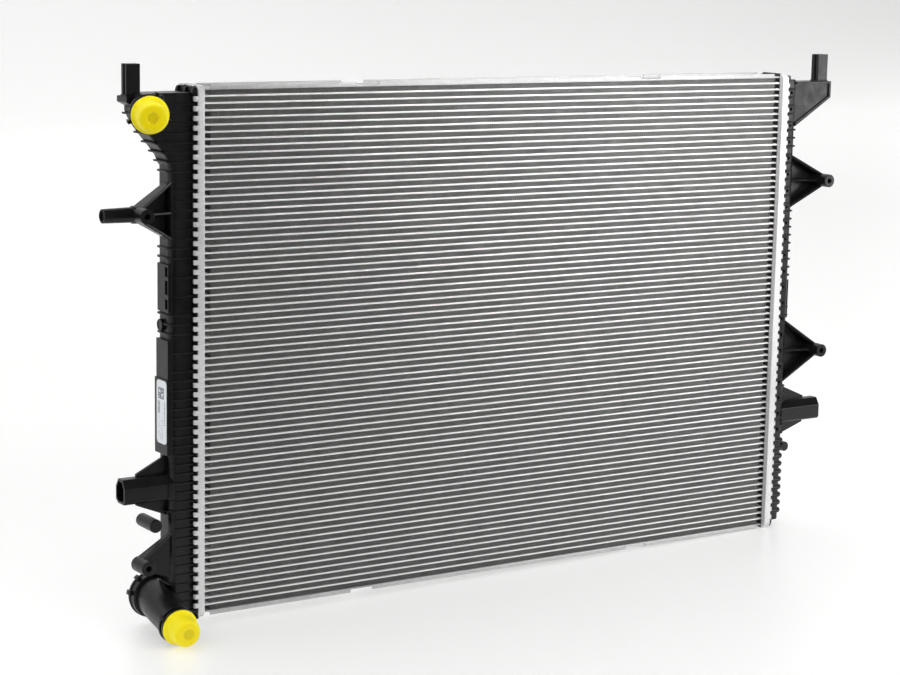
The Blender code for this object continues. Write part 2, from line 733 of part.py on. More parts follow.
def outlet_elbow(look):
    """Barrel and skew neck, then the same spigot as the inlet. The tank's body is cut out of it."""
    mesh = bmesh.new()
    rings = []
    for centre, radius, axis in barrel_rings():
        u, v = across(axis)
        rings.append([mesh.verts.new(p) for p in ring_points(radius, centre, u, v)])
    close_rings(mesh, rings)
    elbow = finish("outlet_elbow", mesh, look)

    def spigot(mesh):
        lathe(mesh, OUTLET_BRIM, OUTLET_AXIS, spigot_profile(-14))

    def clip_lugs(mesh):
        for turn in (125, 165):
            direction = Vector((math.cos(math.radians(turn)), 0, math.sin(math.radians(turn))))
            centre = Vector((BARREL_X, BARREL_BACK - 7, BARREL_Z)) + direction * (BARREL_R + 0.5)
            box(mesh, centre - Vector((2.5, 3, 2.5)), centre + Vector((2.5, 3, 2.5)))

    def tank_space(mesh):
        half = TANK_HALF_DEPTH + GAP
        low = (-LEFT_CROWN - RIB_PROUD - GAP, -half, TANK_BOTTOM - GAP)
        box(mesh, low, (-300, half, 60))

    def header_space(mesh):
        box(mesh, (-CORE_HALF - PAN_RISE - 1.5, -60, -40), (-300, 40, 60))

    def arm_space(mesh):
        box(mesh, (-420, ARM_FRONT - GAP, 36 - GAP), (-300, ARM_BACK + GAP, 60))

    def bore(mesh):
        lathe(mesh, OUTLET_BRIM, OUTLET_AXIS, [(-40, PORT_BORE_R), (SPIGOT_END + 1, PORT_BORE_R)])

    def barrel_bore(mesh):
        start = Vector((-364, 18, 16))
        lathe(mesh, start, Vector((0, -1, 0)), [(0, BARREL_BORE_R), (45, BARREL_BORE_R - 2)])

    boolean(elbow, "UNION", "spigot", spigot)
    boolean(elbow, "UNION", "clip_lugs", clip_lugs)
    boolean(elbow, "DIFFERENCE", "tank_space", tank_space)
    boolean(elbow, "DIFFERENCE", "header_space", header_space)
    boolean(elbow, "DIFFERENCE", "arm_space", arm_space)
    boolean(elbow, "DIFFERENCE", "barrel_bore", barrel_bore)
    boolean(elbow, "DIFFERENCE", "bore", bore)
    smooth(elbow)


def port_cap(name, brim, axis, look):
    """A transport cap: a brim, a slightly tapered cup with a domed edge, and a dimple in its end."""
    cup = [(-2, CAP_BRIM_R), (0, CAP_BRIM_R), (0.4, CAP_CUP_R), (CAP_LENGTH - 1.6, CAP_END_R)]
    cup += [(CAP_LENGTH - 0.3, CAP_END_R - 1.4), (CAP_LENGTH, CAP_END_R - 3)]
    cup += [(CAP_LENGTH, 4.6), (CAP_LENGTH - 0.8, 4.2)]
    mesh = bmesh.new()
    lathe(mesh, Vector((0, 0, 0)), axis, cup)
    cap = finish(name, mesh, look)
    cap.location = brim * MM

    def inside(mesh):
        lathe(mesh, brim, axis, [(-3, SPIGOT_R + GAP), (CAP_LENGTH - 1.8, SPIGOT_R + GAP)])

    boolean(cap, "DIFFERENCE", "inside", inside)
    smooth(cap)


def part_label(look):
    """A blank rounded label on the left tank's crown, over the ribs."""
    near = LEFT_CROWN + RIB_PROUD + GAP
    outline = [(-9, 157), (7, 157), (7, 211), (-9, 211)]
    mesh = bmesh.new()
    prism(mesh, rounded_outline(outline, (0, 1, 2, 3), 4), "X", -near - 0.4, -near)
    finish("part_label", mesh, look)


UPPER_LEFT_ARM = (359.6, 335.5, 387.5)
UPPER_RIGHT_ARM = (359.6, 332.0, 386.0)
LOWER_RIGHT_ARM = (182.7, 150.0, 215.0)
LOW_BOSS_Z = 52.0


def build():
    clear_scene()
    core = material("core_aluminium", (0.62, 0.62, 0.60), 0.38, 0.9)
    rim = material("rim_aluminium", (0.75, 0.75, 0.75), 0.42, 0.9)
    plastic = material("tank_plastic", (0.016, 0.016, 0.017), 0.45, 0.0)
    rubber = material("gasket_rubber", (0.012, 0.012, 0.012), 0.8, 0.0)
    yellow = material("cap_yellow", (0.80, 0.66, 0.01), 0.35, 0.0)
    paper = material("label_paper", (0.82, 0.84, 0.86), 0.5, 0.0)

    for number in range(1, TUBE_COUNT // 2 + 1):
        tube_pair(number, core)
    bottom_fin_row(core)
    side_plate("bottom_side_plate", 0, PLATE_WEB, -PLATE_FLANGE, rim)
    side_plate("top_side_plate", CORE_TOP - PLATE_WEB, CORE_TOP, CORE_TOP + PLATE_FLANGE, rim)
    header_plate("left_header_plate", -1, rim)
    header_plate("right_header_plate", 1, rim)
    gasket("left_header_gasket", -1, rubber, True)
    gasket("right_header_gasket", 1, rubber, False)
    left_tank(plastic)
    right_tank(plastic)
    mount_socket("left_mount_socket", -1, LEFT_CROWN, plastic)
    mount_socket("right_mount_socket", 1, RIGHT_CROWN, plastic)
    inlet_port(plastic)
    outlet_elbow(plastic)
    port_cap("inlet_cap", INLET_BRIM, INLET_AXIS, yellow)
    port_cap("outlet_cap", OUTLET_BRIM, OUTLET_AXIS, yellow)
    part_label(paper)


build()
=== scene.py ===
"""Looks for the car radiator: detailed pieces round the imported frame, their materials, a studio and a camera.

X runs along the tubes, -Y is the front, +Z is up. Lengths in the constants and the shape functions are
millimetres in the frame's own axes; MM turns them into metres when a piece is made.
"""

import math
import random

import bmesh
import bpy
import numpy as np
from mathutils import Matrix, Vector


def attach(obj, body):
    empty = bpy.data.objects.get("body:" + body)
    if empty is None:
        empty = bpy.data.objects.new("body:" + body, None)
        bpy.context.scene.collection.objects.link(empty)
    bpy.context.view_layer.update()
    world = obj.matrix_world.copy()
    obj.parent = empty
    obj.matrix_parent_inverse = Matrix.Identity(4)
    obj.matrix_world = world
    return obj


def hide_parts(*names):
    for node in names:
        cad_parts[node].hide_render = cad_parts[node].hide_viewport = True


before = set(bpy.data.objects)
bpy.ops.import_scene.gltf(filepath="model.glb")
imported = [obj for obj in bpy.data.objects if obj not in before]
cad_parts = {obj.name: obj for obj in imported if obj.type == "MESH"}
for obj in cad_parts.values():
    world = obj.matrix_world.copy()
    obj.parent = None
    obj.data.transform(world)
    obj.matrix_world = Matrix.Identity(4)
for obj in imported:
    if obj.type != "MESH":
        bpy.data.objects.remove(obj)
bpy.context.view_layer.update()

MM = 0.001
RADIATOR = "radiator"
LEFT, RIGHT = -1, 1

# Core
CORE_HALF = 325.0
CORE_HALF_DEPTH = 13.0
TUBE_COUNT = 74
TUBE_PITCH = 6.2
TUBE_THICK = 1.7
TUBE_HALF_LENGTH = 328.5
FIN_HEIGHT = TUBE_PITCH - TUBE_THICK
FIN_LEFT_END, FIN_RIGHT_END = -317.6, 321.0
FIN_HALF_DEPTH = 12.5
FIN_PERIOD = 2.4
FIN_SHEET = 0.09
PLATE_WEB = 1.5
PLATE_FLANGE = 2.8
FLANGE_HALF_LENGTH = 317.5
CUT_X = 160.0
FIRST_TUBE_Z = PLATE_WEB + FIN_HEIGHT + TUBE_THICK / 2
CORE_TOP = FIRST_TUBE_Z + (TUBE_COUNT - 1) * TUBE_PITCH + TUBE_THICK / 2 + FIN_HEIGHT + PLATE_WEB
CORE_MID_Z = CORE_TOP / 2

# Header plates
PAN_HALF_DEPTH = 19.0
PAN_WALL = 1.5
PAN_RISE = 10.3
PAN_OVERHANG = 3.0
PAN_CORNER = 6.0
TAB_COUNT = 55
TAB_PITCH = 8.31
TAB_WIDTH = 4.5
TAB_ROOT = {LEFT: 6.5, RIGHT: 7.6}
HOOK_REACH = 3.5
RIB_START_Z = CORE_MID_Z - TAB_COUNT * TAB_PITCH / 2

# Tanks
FOOT_NEAR, FOOT_FAR, FOOT_HALF = 329.6, 333.2, 17.2
TANK_HALF_DEPTH = 13.0
TANK_WALL = 2.3
TANK_LOW, TANK_HIGH = 3.5, CORE_TOP - 3.5
LEFT_CROWN, RIGHT_CROWN = 355.3, 350.0
LABEL_X = 359.0
CROWN_ROUND = 6.0
RIB_PROUD, RIB_SIDE_PROUD, RIB_THICK = 2.2, 0.7, 1.8
GUSSET_THICK = 2.0
BEAD_PROUD, BEAD_THICK = 3.0, 5.2
DIMPLE_X, DIMPLE_R = 341.7, 1.8

# Brackets, bosses and pins
ARM_FRONT, ARM_BACK, ARM_THICK = -18.5, -0.9, 2.6
ARM_ROOT_FRONT = -11.6
BOSS_X, BOSS_FRONT, BOSS_R, BOSS_HOLE_R = 384.3, -29.0, 6.6, 2.2
UPPER_LEFT_ARM = (359.6, 335.5, 387.5)
UPPER_RIGHT_ARM = (359.6, 332.0, 386.0)
LOWER_RIGHT_ARM = (182.7, 150.0, 215.0)
LEVER_BOSS_Z, LEVER_BASE_Z, LEVER_BACK = 52.0, 78.0, -7.0
PIN_X, PIN_Y, PIN_TOP, PIN_WIDE, PIN_DEEP = 387.1, -2.7, 487.6, 12.9, 10.4
BRACKET_END, BRACKET_FRONT, BRACKET_BACK, BRACKET_TOP = 395.5, -12.5, 7.4, 460.5
SIDE_PIN_START, SIDE_PIN_TIP, SIDE_PIN_R, SIDE_PIN_Y = 378.3, 417.0, 6.7, -8.0
STUD_START, STUD_Y, STUD_Z = 350.0, 3.0, 260.6

# Sockets
SOCKET_END, SOCKET_FRONT, SOCKET_BACK = 399.3, -12.4, 6.0
SOCKET_TOP, SOCKET_BOTTOM, SOCKET_WALL, SOCKET_ROOT = 128.5, 106.5, 2.2, 3.6

# Ports and caps
PORT_BORE_R, SPIGOT_R, SPIGOT_END, COLLAR_R, NECK_R = 9.3, 11.5, 12.5, 16.6, 14.3
CAP_BRIM_R, CAP_LENGTH = 16.1, 16.2
INLET_BRIM = Vector((-390.0, -47.0, 447.0))
INLET_AXIS = Vector((-0.297, -0.95, -0.094)).normalized()
OUTLET_BRIM = Vector((-368.3, -58.0, 4.5))
OUTLET_AXIS = Vector((0.0, -math.cos(math.radians(7.5)), -math.sin(math.radians(7.5))))
BARREL_X, BARREL_Z, BARREL_BACK, BARREL_STEP = -361.0, 15.0, 23.0, 9.0
BARREL_R, BARREL_NECK_R = 20.0, 17.0

# Studio, in metres
FLOOR_FRONT, FLOOR_BACK, WALL_CURVE, WALL_TOP = -0.45, 4.2, 1.2, 4.0
STAGE_HALF_WIDTH, FLOOR_NEAR_END = 6.0, -4.5
FLOOR_AT, FLOOR_RISE, FLOOR_RUN = (-0.368, 0, -0.0127), 9.5, 706.0
ROOM_RADIUS = 9.0
CAMERA_AT, CAMERA_LENS, CAMERA_SENSOR = (-1.21766, -1.78122, 0.59197), 91.5, 36
CAMERA_YAW, CAMERA_PITCH, CAMERA_ROLL = 33.065, 9.757, 1.075

TO_LEFT, TO_FRONT, TO_BACK = Vector((-1, 0, 0)), Vector((0, -1, 0)), Vector((0, 1, 0))


# ---------------------------------------------------------------- shells

def place(axis, a, b, along):
    """A point from two outline coordinates and a distance along the extrusion axis."""
    return {"X": (along, a, b), "Y": (a, along, b), "Z": (a, b, along)}[axis]


def bevelled(mesh, width, segments, angle=30):
    """Rounds every edge of the shell that turns by more than the angle."""
    if width > 0:
        sharp = [e for e in mesh.edges if e.calc_face_angle(0) > math.radians(angle)]
        bmesh.ops.bevel(
            mesh, geom=sharp, offset=width, offset_type="OFFSET", segments=segments,
            profile=0.5, affect="EDGES", clamp_overlap=True,
        )
    return mesh


def prism(outline, axis, low, high, bevel=0.4, segments=2):
    """The outline, extruded from low to high along axis, as one closed shell."""
    mesh = bmesh.new()
    rings = [[mesh.verts.new(place(axis, a, b, along)) for a, b in outline] for along in (low, high)]
    mesh.faces.new(rings[0])
    mesh.faces.new(rings[1])
    count = len(outline)
    for i in range(count):
        j = (i + 1) % count
        mesh.faces.new((rings[0][i], rings[0][j], rings[1][j], rings[1][i]))
    bmesh.ops.recalc_face_normals(mesh, faces=mesh.faces)
    return bevelled(mesh, bevel, segments)


def box(low, high, bevel=0.4, segments=2):
    outline = [(low[0], low[1]), (high[0], low[1]), (high[0], high[1]), (low[0], high[1])]
    return prism(outline, "Z", low[2], high[2], bevel, segments)


def side_box(side, x_range, y_range, z_range, bevel=0.4, segments=2):
    """A box given by distances from the centre plane, on the left (side -1) or the right (side 1)."""
    xs = sorted((side * x_range[0], side * x_range[1]))
    return box((xs[0], y_range[0], z_range[0]), (xs[1], y_range[1], z_range[1]), bevel, segments)


def side_prism(side, outline, near, far, bevel=0.4, segments=2):
    """The (y, z) outline extruded between two distances from the centre plane, on one side."""
    return prism(outline, "X", *sorted((side * near, side * far)), bevel, segments)


def sided(side, outline):
    return [(side * x, other) for x, other in outline]


def across(axis):
    """Two directions at right angles to the axis and to each other."""
    u = axis.cross(Vector((0, 0, 1)))
    if u.length < 0.1:
        u = axis.cross(Vector((1, 0, 0)))
    u.normalize()
    return u, axis.cross(u).normalized()


def ring(centre, radius, axis, steps, squash=1.0):
    u, v = across(axis)
    turns = [2 * math.pi * i / steps for i in range(steps)]
    return [centre + u * (radius * math.cos(t)) + v * (radius * squash * math.sin(t)) for t in turns]


def loft(rings):
    """Closes a run of rings of points into one shell. A ring of one point closes an end to a tip."""
    mesh = bmesh.new()
    made = [[mesh.verts.new(p) for p in points] for points in rings]
    for first, second in zip(made, made[1:]):
        count = max(len(first), len(second))
        for i in range(count):
            j = (i + 1) % count
            near = [first[i % len(first)], first[j % len(first)]]
            far = [second[j % len(second)], second[i % len(second)]]
            mesh.faces.new(list(dict.fromkeys(near + far)))
    for end in (made[0], made[-1]):
        if len(end) > 2:
            mesh.faces.new(end)
    bmesh.ops.recalc_face_normals(mesh, faces=mesh.faces)
    return mesh


def lathe(start, axis, profile, steps=40):
    """Turns (distance along, radius) pairs round the axis."""
    rings = []
    for along, radius in profile:
        centre = start + axis * along
        rings.append([centre] if radius == 0 else ring(centre, radius, axis, steps))
    return loft(rings)


def eased(profile, radius=0.5, steps=2):
    """The profile with each of its inner corners replaced by a short curve."""
    found = [profile[0]]
    for before, here, after in zip(profile, profile[1:], profile[2:]):
        a, b, c = Vector(before), Vector(here), Vector(after)
        reach = min(radius, (a - b).length * 0.45, (c - b).length * 0.45)
        start, end = b + (a - b).normalized() * reach, b + (c - b).normalized() * reach
        for k in range(steps + 1):
            t = k / steps
            found.append(tuple(start * (1 - t) ** 2 + b * (2 * t * (1 - t)) + end * t ** 2))
    return found + [profile[-1]]


def rounded(outline, corners, radius, steps=4):
    """The closed outline with the named corners replaced by arcs."""
    found = []
    for i, point in enumerate(outline):
        if i not in corners:
            found.append(tuple(point))
            continue
        here = Vector(point)
        before = (Vector(outline[i - 1]) - here).normalized()
        after = (Vector(outline[(i + 1) % len(outline)]) - here).normalized()
        half_angle = before.angle(after) / 2
        centre = here + (before + after).normalized() * (radius / math.sin(half_angle))
        start = here + before * (radius / math.tan(half_angle)) - centre
        end = here + after * (radius / math.tan(half_angle)) - centre
        for k in range(steps + 1):
            found.append(tuple(centre + start.lerp(end, k / steps).normalized() * radius))
    return found


# ---------------------------------------------------------------- pieces

def linked(name, data):
    made = bpy.data.objects.new(name, data)
    bpy.context.scene.collection.objects.link(made)
    return made


def object_of(name, mesh):
    """A new object from a bmesh in millimetres."""
    data = bpy.data.meshes.new(name)
    bmesh.ops.scale(mesh, vec=(MM, MM, MM), verts=mesh.verts)
    mesh.to_mesh(data)
    mesh.free()
    return linked(name, data)


def joined(shells):
    """One bmesh of shells that don't touch each other."""
    whole = bmesh.new()
    for shell in shells:
        data = bpy.data.meshes.new("shell")
        shell.to_mesh(data)
        shell.free()
        whole.from_mesh(data)
        bpy.data.meshes.remove(data)
    return whole


def solid(name, base, steps):
    """Applies (operation, shells) steps to the base shell one after another. Shells of a step may overlap."""
    made = object_of(name, base)
    helpers, groups = [], []
    for number, (operation, shells) in enumerate(steps):
        group = bpy.data.collections.new(f"{name}_{number}")
        for shell in shells:
            helper = object_of(f"{name}_shell", shell)
            bpy.context.scene.collection.objects.unlink(helper)
            group.objects.link(helper)
            helpers.append(helper)
        groups.append(group)
        modifier = made.modifiers.new(operation, "BOOLEAN")
        modifier.operation = operation
        modifier.operand_type = "COLLECTION"
        modifier.collection = group
        modifier.solver = "MANIFOLD"
    bpy.context.view_layer.update()
    graph = bpy.context.evaluated_depsgraph_get()
    result = bpy.data.meshes.new_from_object(made.evaluated_get(graph))
    made.modifiers.clear()
    old = made.data
    made.data = result
    bpy.data.meshes.remove(old)
    for helper in helpers:
        data = helper.data
        bpy.data.objects.remove(helper)
        bpy.data.meshes.remove(data)
    for group in groups:
        bpy.data.collections.remove(group)
    result.name = name
    return made


def dress(made, look, body, nodes, angle=38):
    """Shades a piece, gives it its material and ties it to the frame."""
    made.data.materials.clear()
    made.data.materials.append(look)
    made.data.shade_smooth()
    made.data.set_sharp_from_angle(angle=math.radians(angle))
    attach(made, body)
    if nodes:
        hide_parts(*nodes)
    return made


def weighted(made):
    """Flat faces stay flat next to their rounded edges."""
    modifier = made.modifiers.new("normals", "WEIGHTED_NORMAL")
    modifier.keep_sharp = True
    modifier.weight = 80


# ---------------------------------------------------------------- materials

class Look:
    """A Principled material with short calls for the nodes that feed it."""

    def __init__(self, name, roughness=0.5, metallic=0.0):
        self.material = bpy.data.materials.new(name)
        self.material.use_nodes = True
        self.tree = self.material.node_tree
        self.shader = self.tree.nodes["Principled BSDF"]
        self.shader.inputs["Roughness"].default_value = roughness
        self.shader.inputs["Metallic"].default_value = metallic
        self.where = self.tree.nodes.new("ShaderNodeTexCoord").outputs["Object"]

    def node(self, kind, values=None, **settings):
        made = self.tree.nodes.new(kind)
        for key, value in settings.items():
            setattr(made, key, value)
        for key, value in (values or {}).items():
            if hasattr(value, "is_output") or isinstance(value, bpy.types.NodeSocket):
                self.tree.links.new(value, made.inputs[key])
            else:
                made.inputs[key].default_value = value
        return made

    def stretched(self, scale):
        return self.node("ShaderNodeMapping", {"Vector": self.where, "Scale": scale}).outputs["Vector"]

    def noise(self, scale, detail=3.0, rough=0.55, where=None):
        values = {"Vector": where or self.where, "Scale": scale, "Detail": detail, "Roughness": rough}
        return self.node("ShaderNodeTexNoise", values).outputs["Fac"]

    def ramp(self, value, stops):
        made = self.node("ShaderNodeValToRGB", {"Fac": value})
        elements = made.color_ramp.elements
        while len(elements) < len(stops):
            elements.new(0.5)
        for element, (position, colour) in zip(elements, stops):
            element.position = position
            element.color = (*colour, 1.0) if isinstance(colour, tuple) else (colour, colour, colour, 1.0)
        return made.outputs["Color"]

    def mix(self, share, first, second, kind="MIX"):
        made = self.node("ShaderNodeMix", data_type="RGBA", blend_type=kind)
        for index, value in ((0, share), (6, first), (7, second)):
            if isinstance(value, bpy.types.NodeSocket):
                self.tree.links.new(value, made.inputs[index])
            elif index and isinstance(value, tuple):
                made.inputs[index].default_value = (*value, 1.0)
            else:
                made.inputs[index].default_value = value
        return made.outputs[2]

    def span(self, value, low, high, from_low=0.3, from_high=0.7):
        values = {"Value": value, "From Min": from_low, "From Max": from_high, "To Min": low, "To Max": high}
        return self.node("ShaderNodeMapRange", values).outputs["Result"]

    def reach(self, axis, low, high):
        """1 where the distance from the centre plane across the axis is under low, fading to 0 at high."""
        parts = self.node("ShaderNodeSeparateXYZ", {"Vector": self.where})
        distance = self.node("ShaderNodeMath", {0: parts.outputs[axis]}, operation="ABSOLUTE").outputs[0]
        return self.span(distance, 1.0, 0.0, low * MM, high * MM)

    def times(self, first, second):
        return self.node("ShaderNodeMath", {0: first, 1: second}, operation="MULTIPLY").outputs[0]

    def vector(self, operation, *values):
        return self.node("ShaderNodeVectorMath", dict(enumerate(values)), operation=operation)

    def colour(self, socket):
        self.tree.links.new(socket, self.shader.inputs["Base Color"])

    def roughness(self, socket):
        self.tree.links.new(socket, self.shader.inputs["Roughness"])

    def bump(self, height, distance, strength=1.0):
        values = {"Height": height, "Distance": distance, "Strength": strength}
        if self.shader.inputs["Normal"].is_linked:
            values["Normal"] = self.shader.inputs["Normal"].links[0].from_socket
        made = self.node("ShaderNodeBump", values)
        self.tree.links.new(made.outputs["Normal"], self.shader.inputs["Normal"])


def fin_look():
    look = Look("fin_aluminium", roughness=0.5, metallic=0.35)
    patches = look.noise(14.0, 4.0, where=look.stretched((0.35, 1.0, 1.0)))
    greys = [(0.3, (0.375, 0.375, 0.382)), (0.5, (0.39, 0.39, 0.386)), (0.7, (0.395, 0.398, 0.377))]
    tint = look.ramp(patches, greys)
    streaks = look.noise(90.0, 3.0, where=look.stretched((1.0, 0.3, 1.0)))
    tint = look.mix(1.0, tint, look.ramp(streaks, [(0.3, 0.85), (0.7, 1.0)]), "MULTIPLY")
    # Painted shade: the fins fade to near black close to each end, standing in for the shade in the gap next to
    # the header plates.
    x = look.node("ShaderNodeSeparateXYZ", {"Vector": look.where}).outputs["X"]
    out_of_left_end_shade = look.span(x, 0.0, 1.0, (FIN_LEFT_END + 0.6) * MM, (FIN_LEFT_END + 1.8) * MM)
    out_of_right_end_shade = look.span(x, 1.0, 0.0, (FIN_RIGHT_END - 1.8) * MM, (FIN_RIGHT_END - 0.6) * MM)
    look.colour(look.mix(look.times(out_of_left_end_shade, out_of_right_end_shade), (0.06, 0.06, 0.062), tint))
    look.roughness(look.span(look.noise(400.0), 0.44, 0.6))
    look.bump(look.noise(2500.0), 0.00004, 0.5)
    return look.material


def tube_look():
    look = Look("tube_aluminium", roughness=0.34, metallic=0.3)
    along = look.noise(160.0, 4.0, where=look.stretched((0.12, 1.0, 1.0)))
    look.colour(look.ramp(along, [(0.3, (0.69, 0.69, 0.68)), (0.7, (0.79, 0.79, 0.78))]))
    look.roughness(look.span(along, 0.28, 0.42))
    look.bump(look.noise(1800.0, where=look.stretched((0.2, 1.0, 1.0))), 0.00003, 0.5)
    return look.material


def rim_look(name, shade, recess):
    """Satin brazed aluminium. A header's face between the tubes, the recess, is painted near black as shade."""
    look = Look(name, roughness=0.45, metallic=0.45)
    grain = look.noise(750.0, 3.0)
    clouds = look.noise(35.0, 4.0, where=look.stretched((1.0, 1.0, 0.4)))
    tone = look.ramp(clouds, [(0.3, shade), (0.7, shade + 0.1)])
    speckled = look.mix(0.7, tone, look.ramp(grain, [(0.35, 0.78), (0.65, 1.0)]), "MULTIPLY")
    # Painted shade: the header's floor between the tubes is darkened to near black for the shade deep in the
    # recess.
    if recess:
        floor, half = CORE_HALF + PAN_WALL, CORE_HALF_DEPTH + 0.5
        on_floor = look.reach("X", floor - 0.3, floor + 0.3)
        inside = look.times(on_floor, look.reach("Y", half - 0.3, half + 0.3))
        speckled = look.mix(inside, speckled, (0.035, 0.035, 0.037))
    look.colour(speckled)
    look.roughness(look.span(clouds, 0.38, 0.52))
    look.bump(grain, 0.00008, 0.6)
    return look.material


def plastic_look():
    """Black glass-filled nylon: a faint swirl where the melt ran, fine grain and a dull sheen."""
    look = Look("tank_plastic", roughness=0.45)
    swirl = look.noise(38.0, 5.0, 0.6, where=look.stretched((1.0, 1.0, 0.45)))
    look.colour(look.ramp(swirl, [(0.3, (0.0035, 0.0035, 0.0038)), (0.7, (0.0075, 0.0075, 0.008))]))
    look.roughness(look.span(look.noise(120.0, 5.0), 0.26, 0.40))
    look.shader.inputs["Specular IOR Level"].default_value = 0.3
    look.bump(look.noise(900.0, 3.0), 0.00006, 0.5)
    look.bump(look.noise(60.0, 2.0), 0.0002, 0.25)
    return look.material


def rubber_look():
    look = Look("gasket_rubber", roughness=0.8)
    look.colour(look.ramp(look.noise(200.0), [(0.3, (0.012, 0.012, 0.012)), (0.7, (0.022, 0.022, 0.022))]))
    look.bump(look.noise(1200.0), 0.00005, 0.5)
    return look.material


def cap_look(name, brim, axis):
    """Soft translucent yellow, with painted shade on the cup's end face and deeper painted shade in the dimple
    at its middle.
    """
    look = Look(name, roughness=0.42)
    cloud = look.noise(60.0, 3.0)
    tone = look.ramp(cloud, [(0.3, (0.89, 0.76, 0.004)), (0.7, (0.95, 0.83, 0.008))])
    from_brim = look.vector("SUBTRACT", look.where, brim * MM).outputs[0]
    away = look.vector("CROSS_PRODUCT", from_brim, axis).outputs[0]
    radius = look.vector("LENGTH", away).outputs["Value"]
    along = look.vector("DOT_PRODUCT", from_brim, axis).outputs["Value"]
    near_end = look.span(along, 0.0, 1.0, 9 * MM, 14 * MM)
    on_end = look.span(radius, 1.0, 0.0, 9.5 * MM, 12.4 * MM)
    in_dimple = look.span(radius, 1.0, 0.0, 4.2 * MM, 5.2 * MM)
    # Painted shade: darker yellow on the cup's end face, where less light comes through, and darker still in
    # the dimple.
    tone = look.mix(look.times(on_end, near_end), tone, (0.80, 0.66, 0.002))
    look.colour(look.mix(look.times(in_dimple, near_end), tone, (0.64, 0.52, 0.003)))
    look.roughness(look.span(look.noise(300.0), 0.34, 0.50))
    look.shader.inputs["Specular IOR Level"].default_value = 0.3
    look.shader.inputs["Subsurface Weight"].default_value = 0.25
    look.shader.inputs["Subsurface Radius"].default_value = (0.004, 0.003, 0.0006)
    look.bump(look.noise(700.0), 0.00004, 0.4)
    return look.material


def label_look():
    look = Look("label_paper", roughness=0.42)
    look.colour(look.ramp(look.noise(120.0), [(0.3, (0.72, 0.75, 0.79)), (0.7, (0.80, 0.83, 0.87))]))
    look.bump(look.noise(500.0), 0.00004, 0.4)
    return look.material


def ink_look():
    look = Look("label_ink", roughness=0.5)
    look.colour(look.ramp(look.noise(900.0), [(0.3, (0.10, 0.11, 0.13)), (0.7, (0.22, 0.24, 0.27))]))
    return look.material


# ---------------------------------------------------------------- core

def tube_z(index):
    return FIRST_TUBE_Z + index * TUBE_PITCH


def tube_shell(z):
    """A flat tube with fully round edges."""
    radius = TUBE_THICK / 2
    turns = [math.radians(90 + 180 * k / 6) for k in range(7)]
    front = [(-CORE_HALF_DEPTH + radius + radius * math.cos(t), z + radius * math.sin(t)) for t in turns]
    outline = front + [(-y, 2 * z - height) for y, height in front]
    return prism(outline, "X", -TUBE_HALF_LENGTH, TUBE_HALF_LENGTH, 0)


def fin_rows(bottoms, heights, phases):
    """Corrugated rows, each a thin closed sheet folded along X, as one array of points and one of quads."""
    points, quads = [], []
    for bottom, height, phase in zip(bottoms, heights, phases):
        middle, reach = bottom + height / 2, height / 2 - FIN_SHEET / 2 - 0.01
        crest = [(-0.34, 0.34), (-0.13, 0.0), (0.13, 0.0), (0.34, 0.34)]
        period = [(x, -reach + drop) for x, drop in crest]
        period += [(FIN_PERIOD / 2 + x, reach - drop) for x, drop in crest]
        count = int((FIN_RIGHT_END - FIN_LEFT_END) / FIN_PERIOD)
        folds = [phase + FIN_LEFT_END + k * FIN_PERIOD for k in range(count)]
        line = [(fold + x, middle + z) for fold in folds for x, z in period]
        line = np.array([p for p in line if FIN_LEFT_END < p[0] < FIN_RIGHT_END])
        run = np.gradient(line, axis=0)
        normal = np.stack([-run[:, 1], run[:, 0]], 1) / np.linalg.norm(run, axis=1)[:, None]
        upper, lower = line + normal * FIN_SHEET / 2, line - normal * FIN_SHEET / 2
        start, n = sum(len(p) for p in points), len(line)
        for y in (-FIN_HALF_DEPTH, FIN_HALF_DEPTH):
            for side in (upper, lower):
                points.append(np.column_stack([side[:, 0], np.full(n, y), side[:, 1]]))
        i = start + np.arange(n - 1)
        front_up, front_low, back_up, back_low = i, i + n, i + 2 * n, i + 3 * n
        quads.append(np.column_stack([front_up, front_up + 1, back_up + 1, back_up]))
        quads.append(np.column_stack([front_low + 1, front_low, back_low, back_low + 1]))
        quads.append(np.column_stack([front_up + 1, front_up, front_low, front_low + 1]))
        quads.append(np.column_stack([back_up, back_up + 1, back_low + 1, back_low]))
        for end, turn in ((0, 1), (n - 1, -1)):
            corner = [start + end, start + end + 2 * n, start + end + 3 * n, start + end + n]
            quads.append(np.array([corner[::turn]]))
    return np.concatenate(points), np.concatenate(quads)


def core_piece(name, nodes, tubes, bottoms, heights, chance):
    """Tubes and the fin rows brazed to them, with the tubes' material on the tubes only."""
    shells = joined([tube_shell(z) for z in tubes]) if tubes else bmesh.new()
    data = bpy.data.meshes.new(name)
    shells.to_mesh(data)
    shells.free()
    tube_points = np.array([v.co for v in data.vertices]).reshape(-1, 3)
    tube_faces = [tuple(p.vertices) for p in data.polygons]
    phases = [chance.uniform(0, FIN_PERIOD) for _ in bottoms]
    fin_points, fin_quads = fin_rows(bottoms, heights, phases)
    fin_faces = [tuple(q) for q in (fin_quads + len(tube_points)).tolist()]
    data.clear_geometry()
    data.from_pydata((np.concatenate([tube_points, fin_points]) * MM).tolist(), [], tube_faces + fin_faces)
    made = linked(name, data)
    dress(made, LOOKS["fin"], RADIATOR, nodes, 30)
    data.materials.append(LOOKS["tube"])
    which = [1] * len(tube_faces) + [0] * len(fin_faces)
    data.polygons.foreach_set("material_index", which)
    return made


def build_core():
    chance = random.Random(5)
    rise = TUBE_THICK / 2
    for number in range(1, TUBE_COUNT // 2 + 1):
        lower, upper = tube_z(2 * number - 2), tube_z(2 * number - 1)
        name = f"tube_pair_{number:02d}"
        bottoms = [lower + rise, upper + rise]
        core_piece(f"{name}_detail", [name], [lower, upper], bottoms, [FIN_HEIGHT, FIN_HEIGHT], chance)
    core_piece("bottom_fin_row_detail", ["bottom_fin_row"], [], [PLATE_WEB], [FIN_HEIGHT], chance)


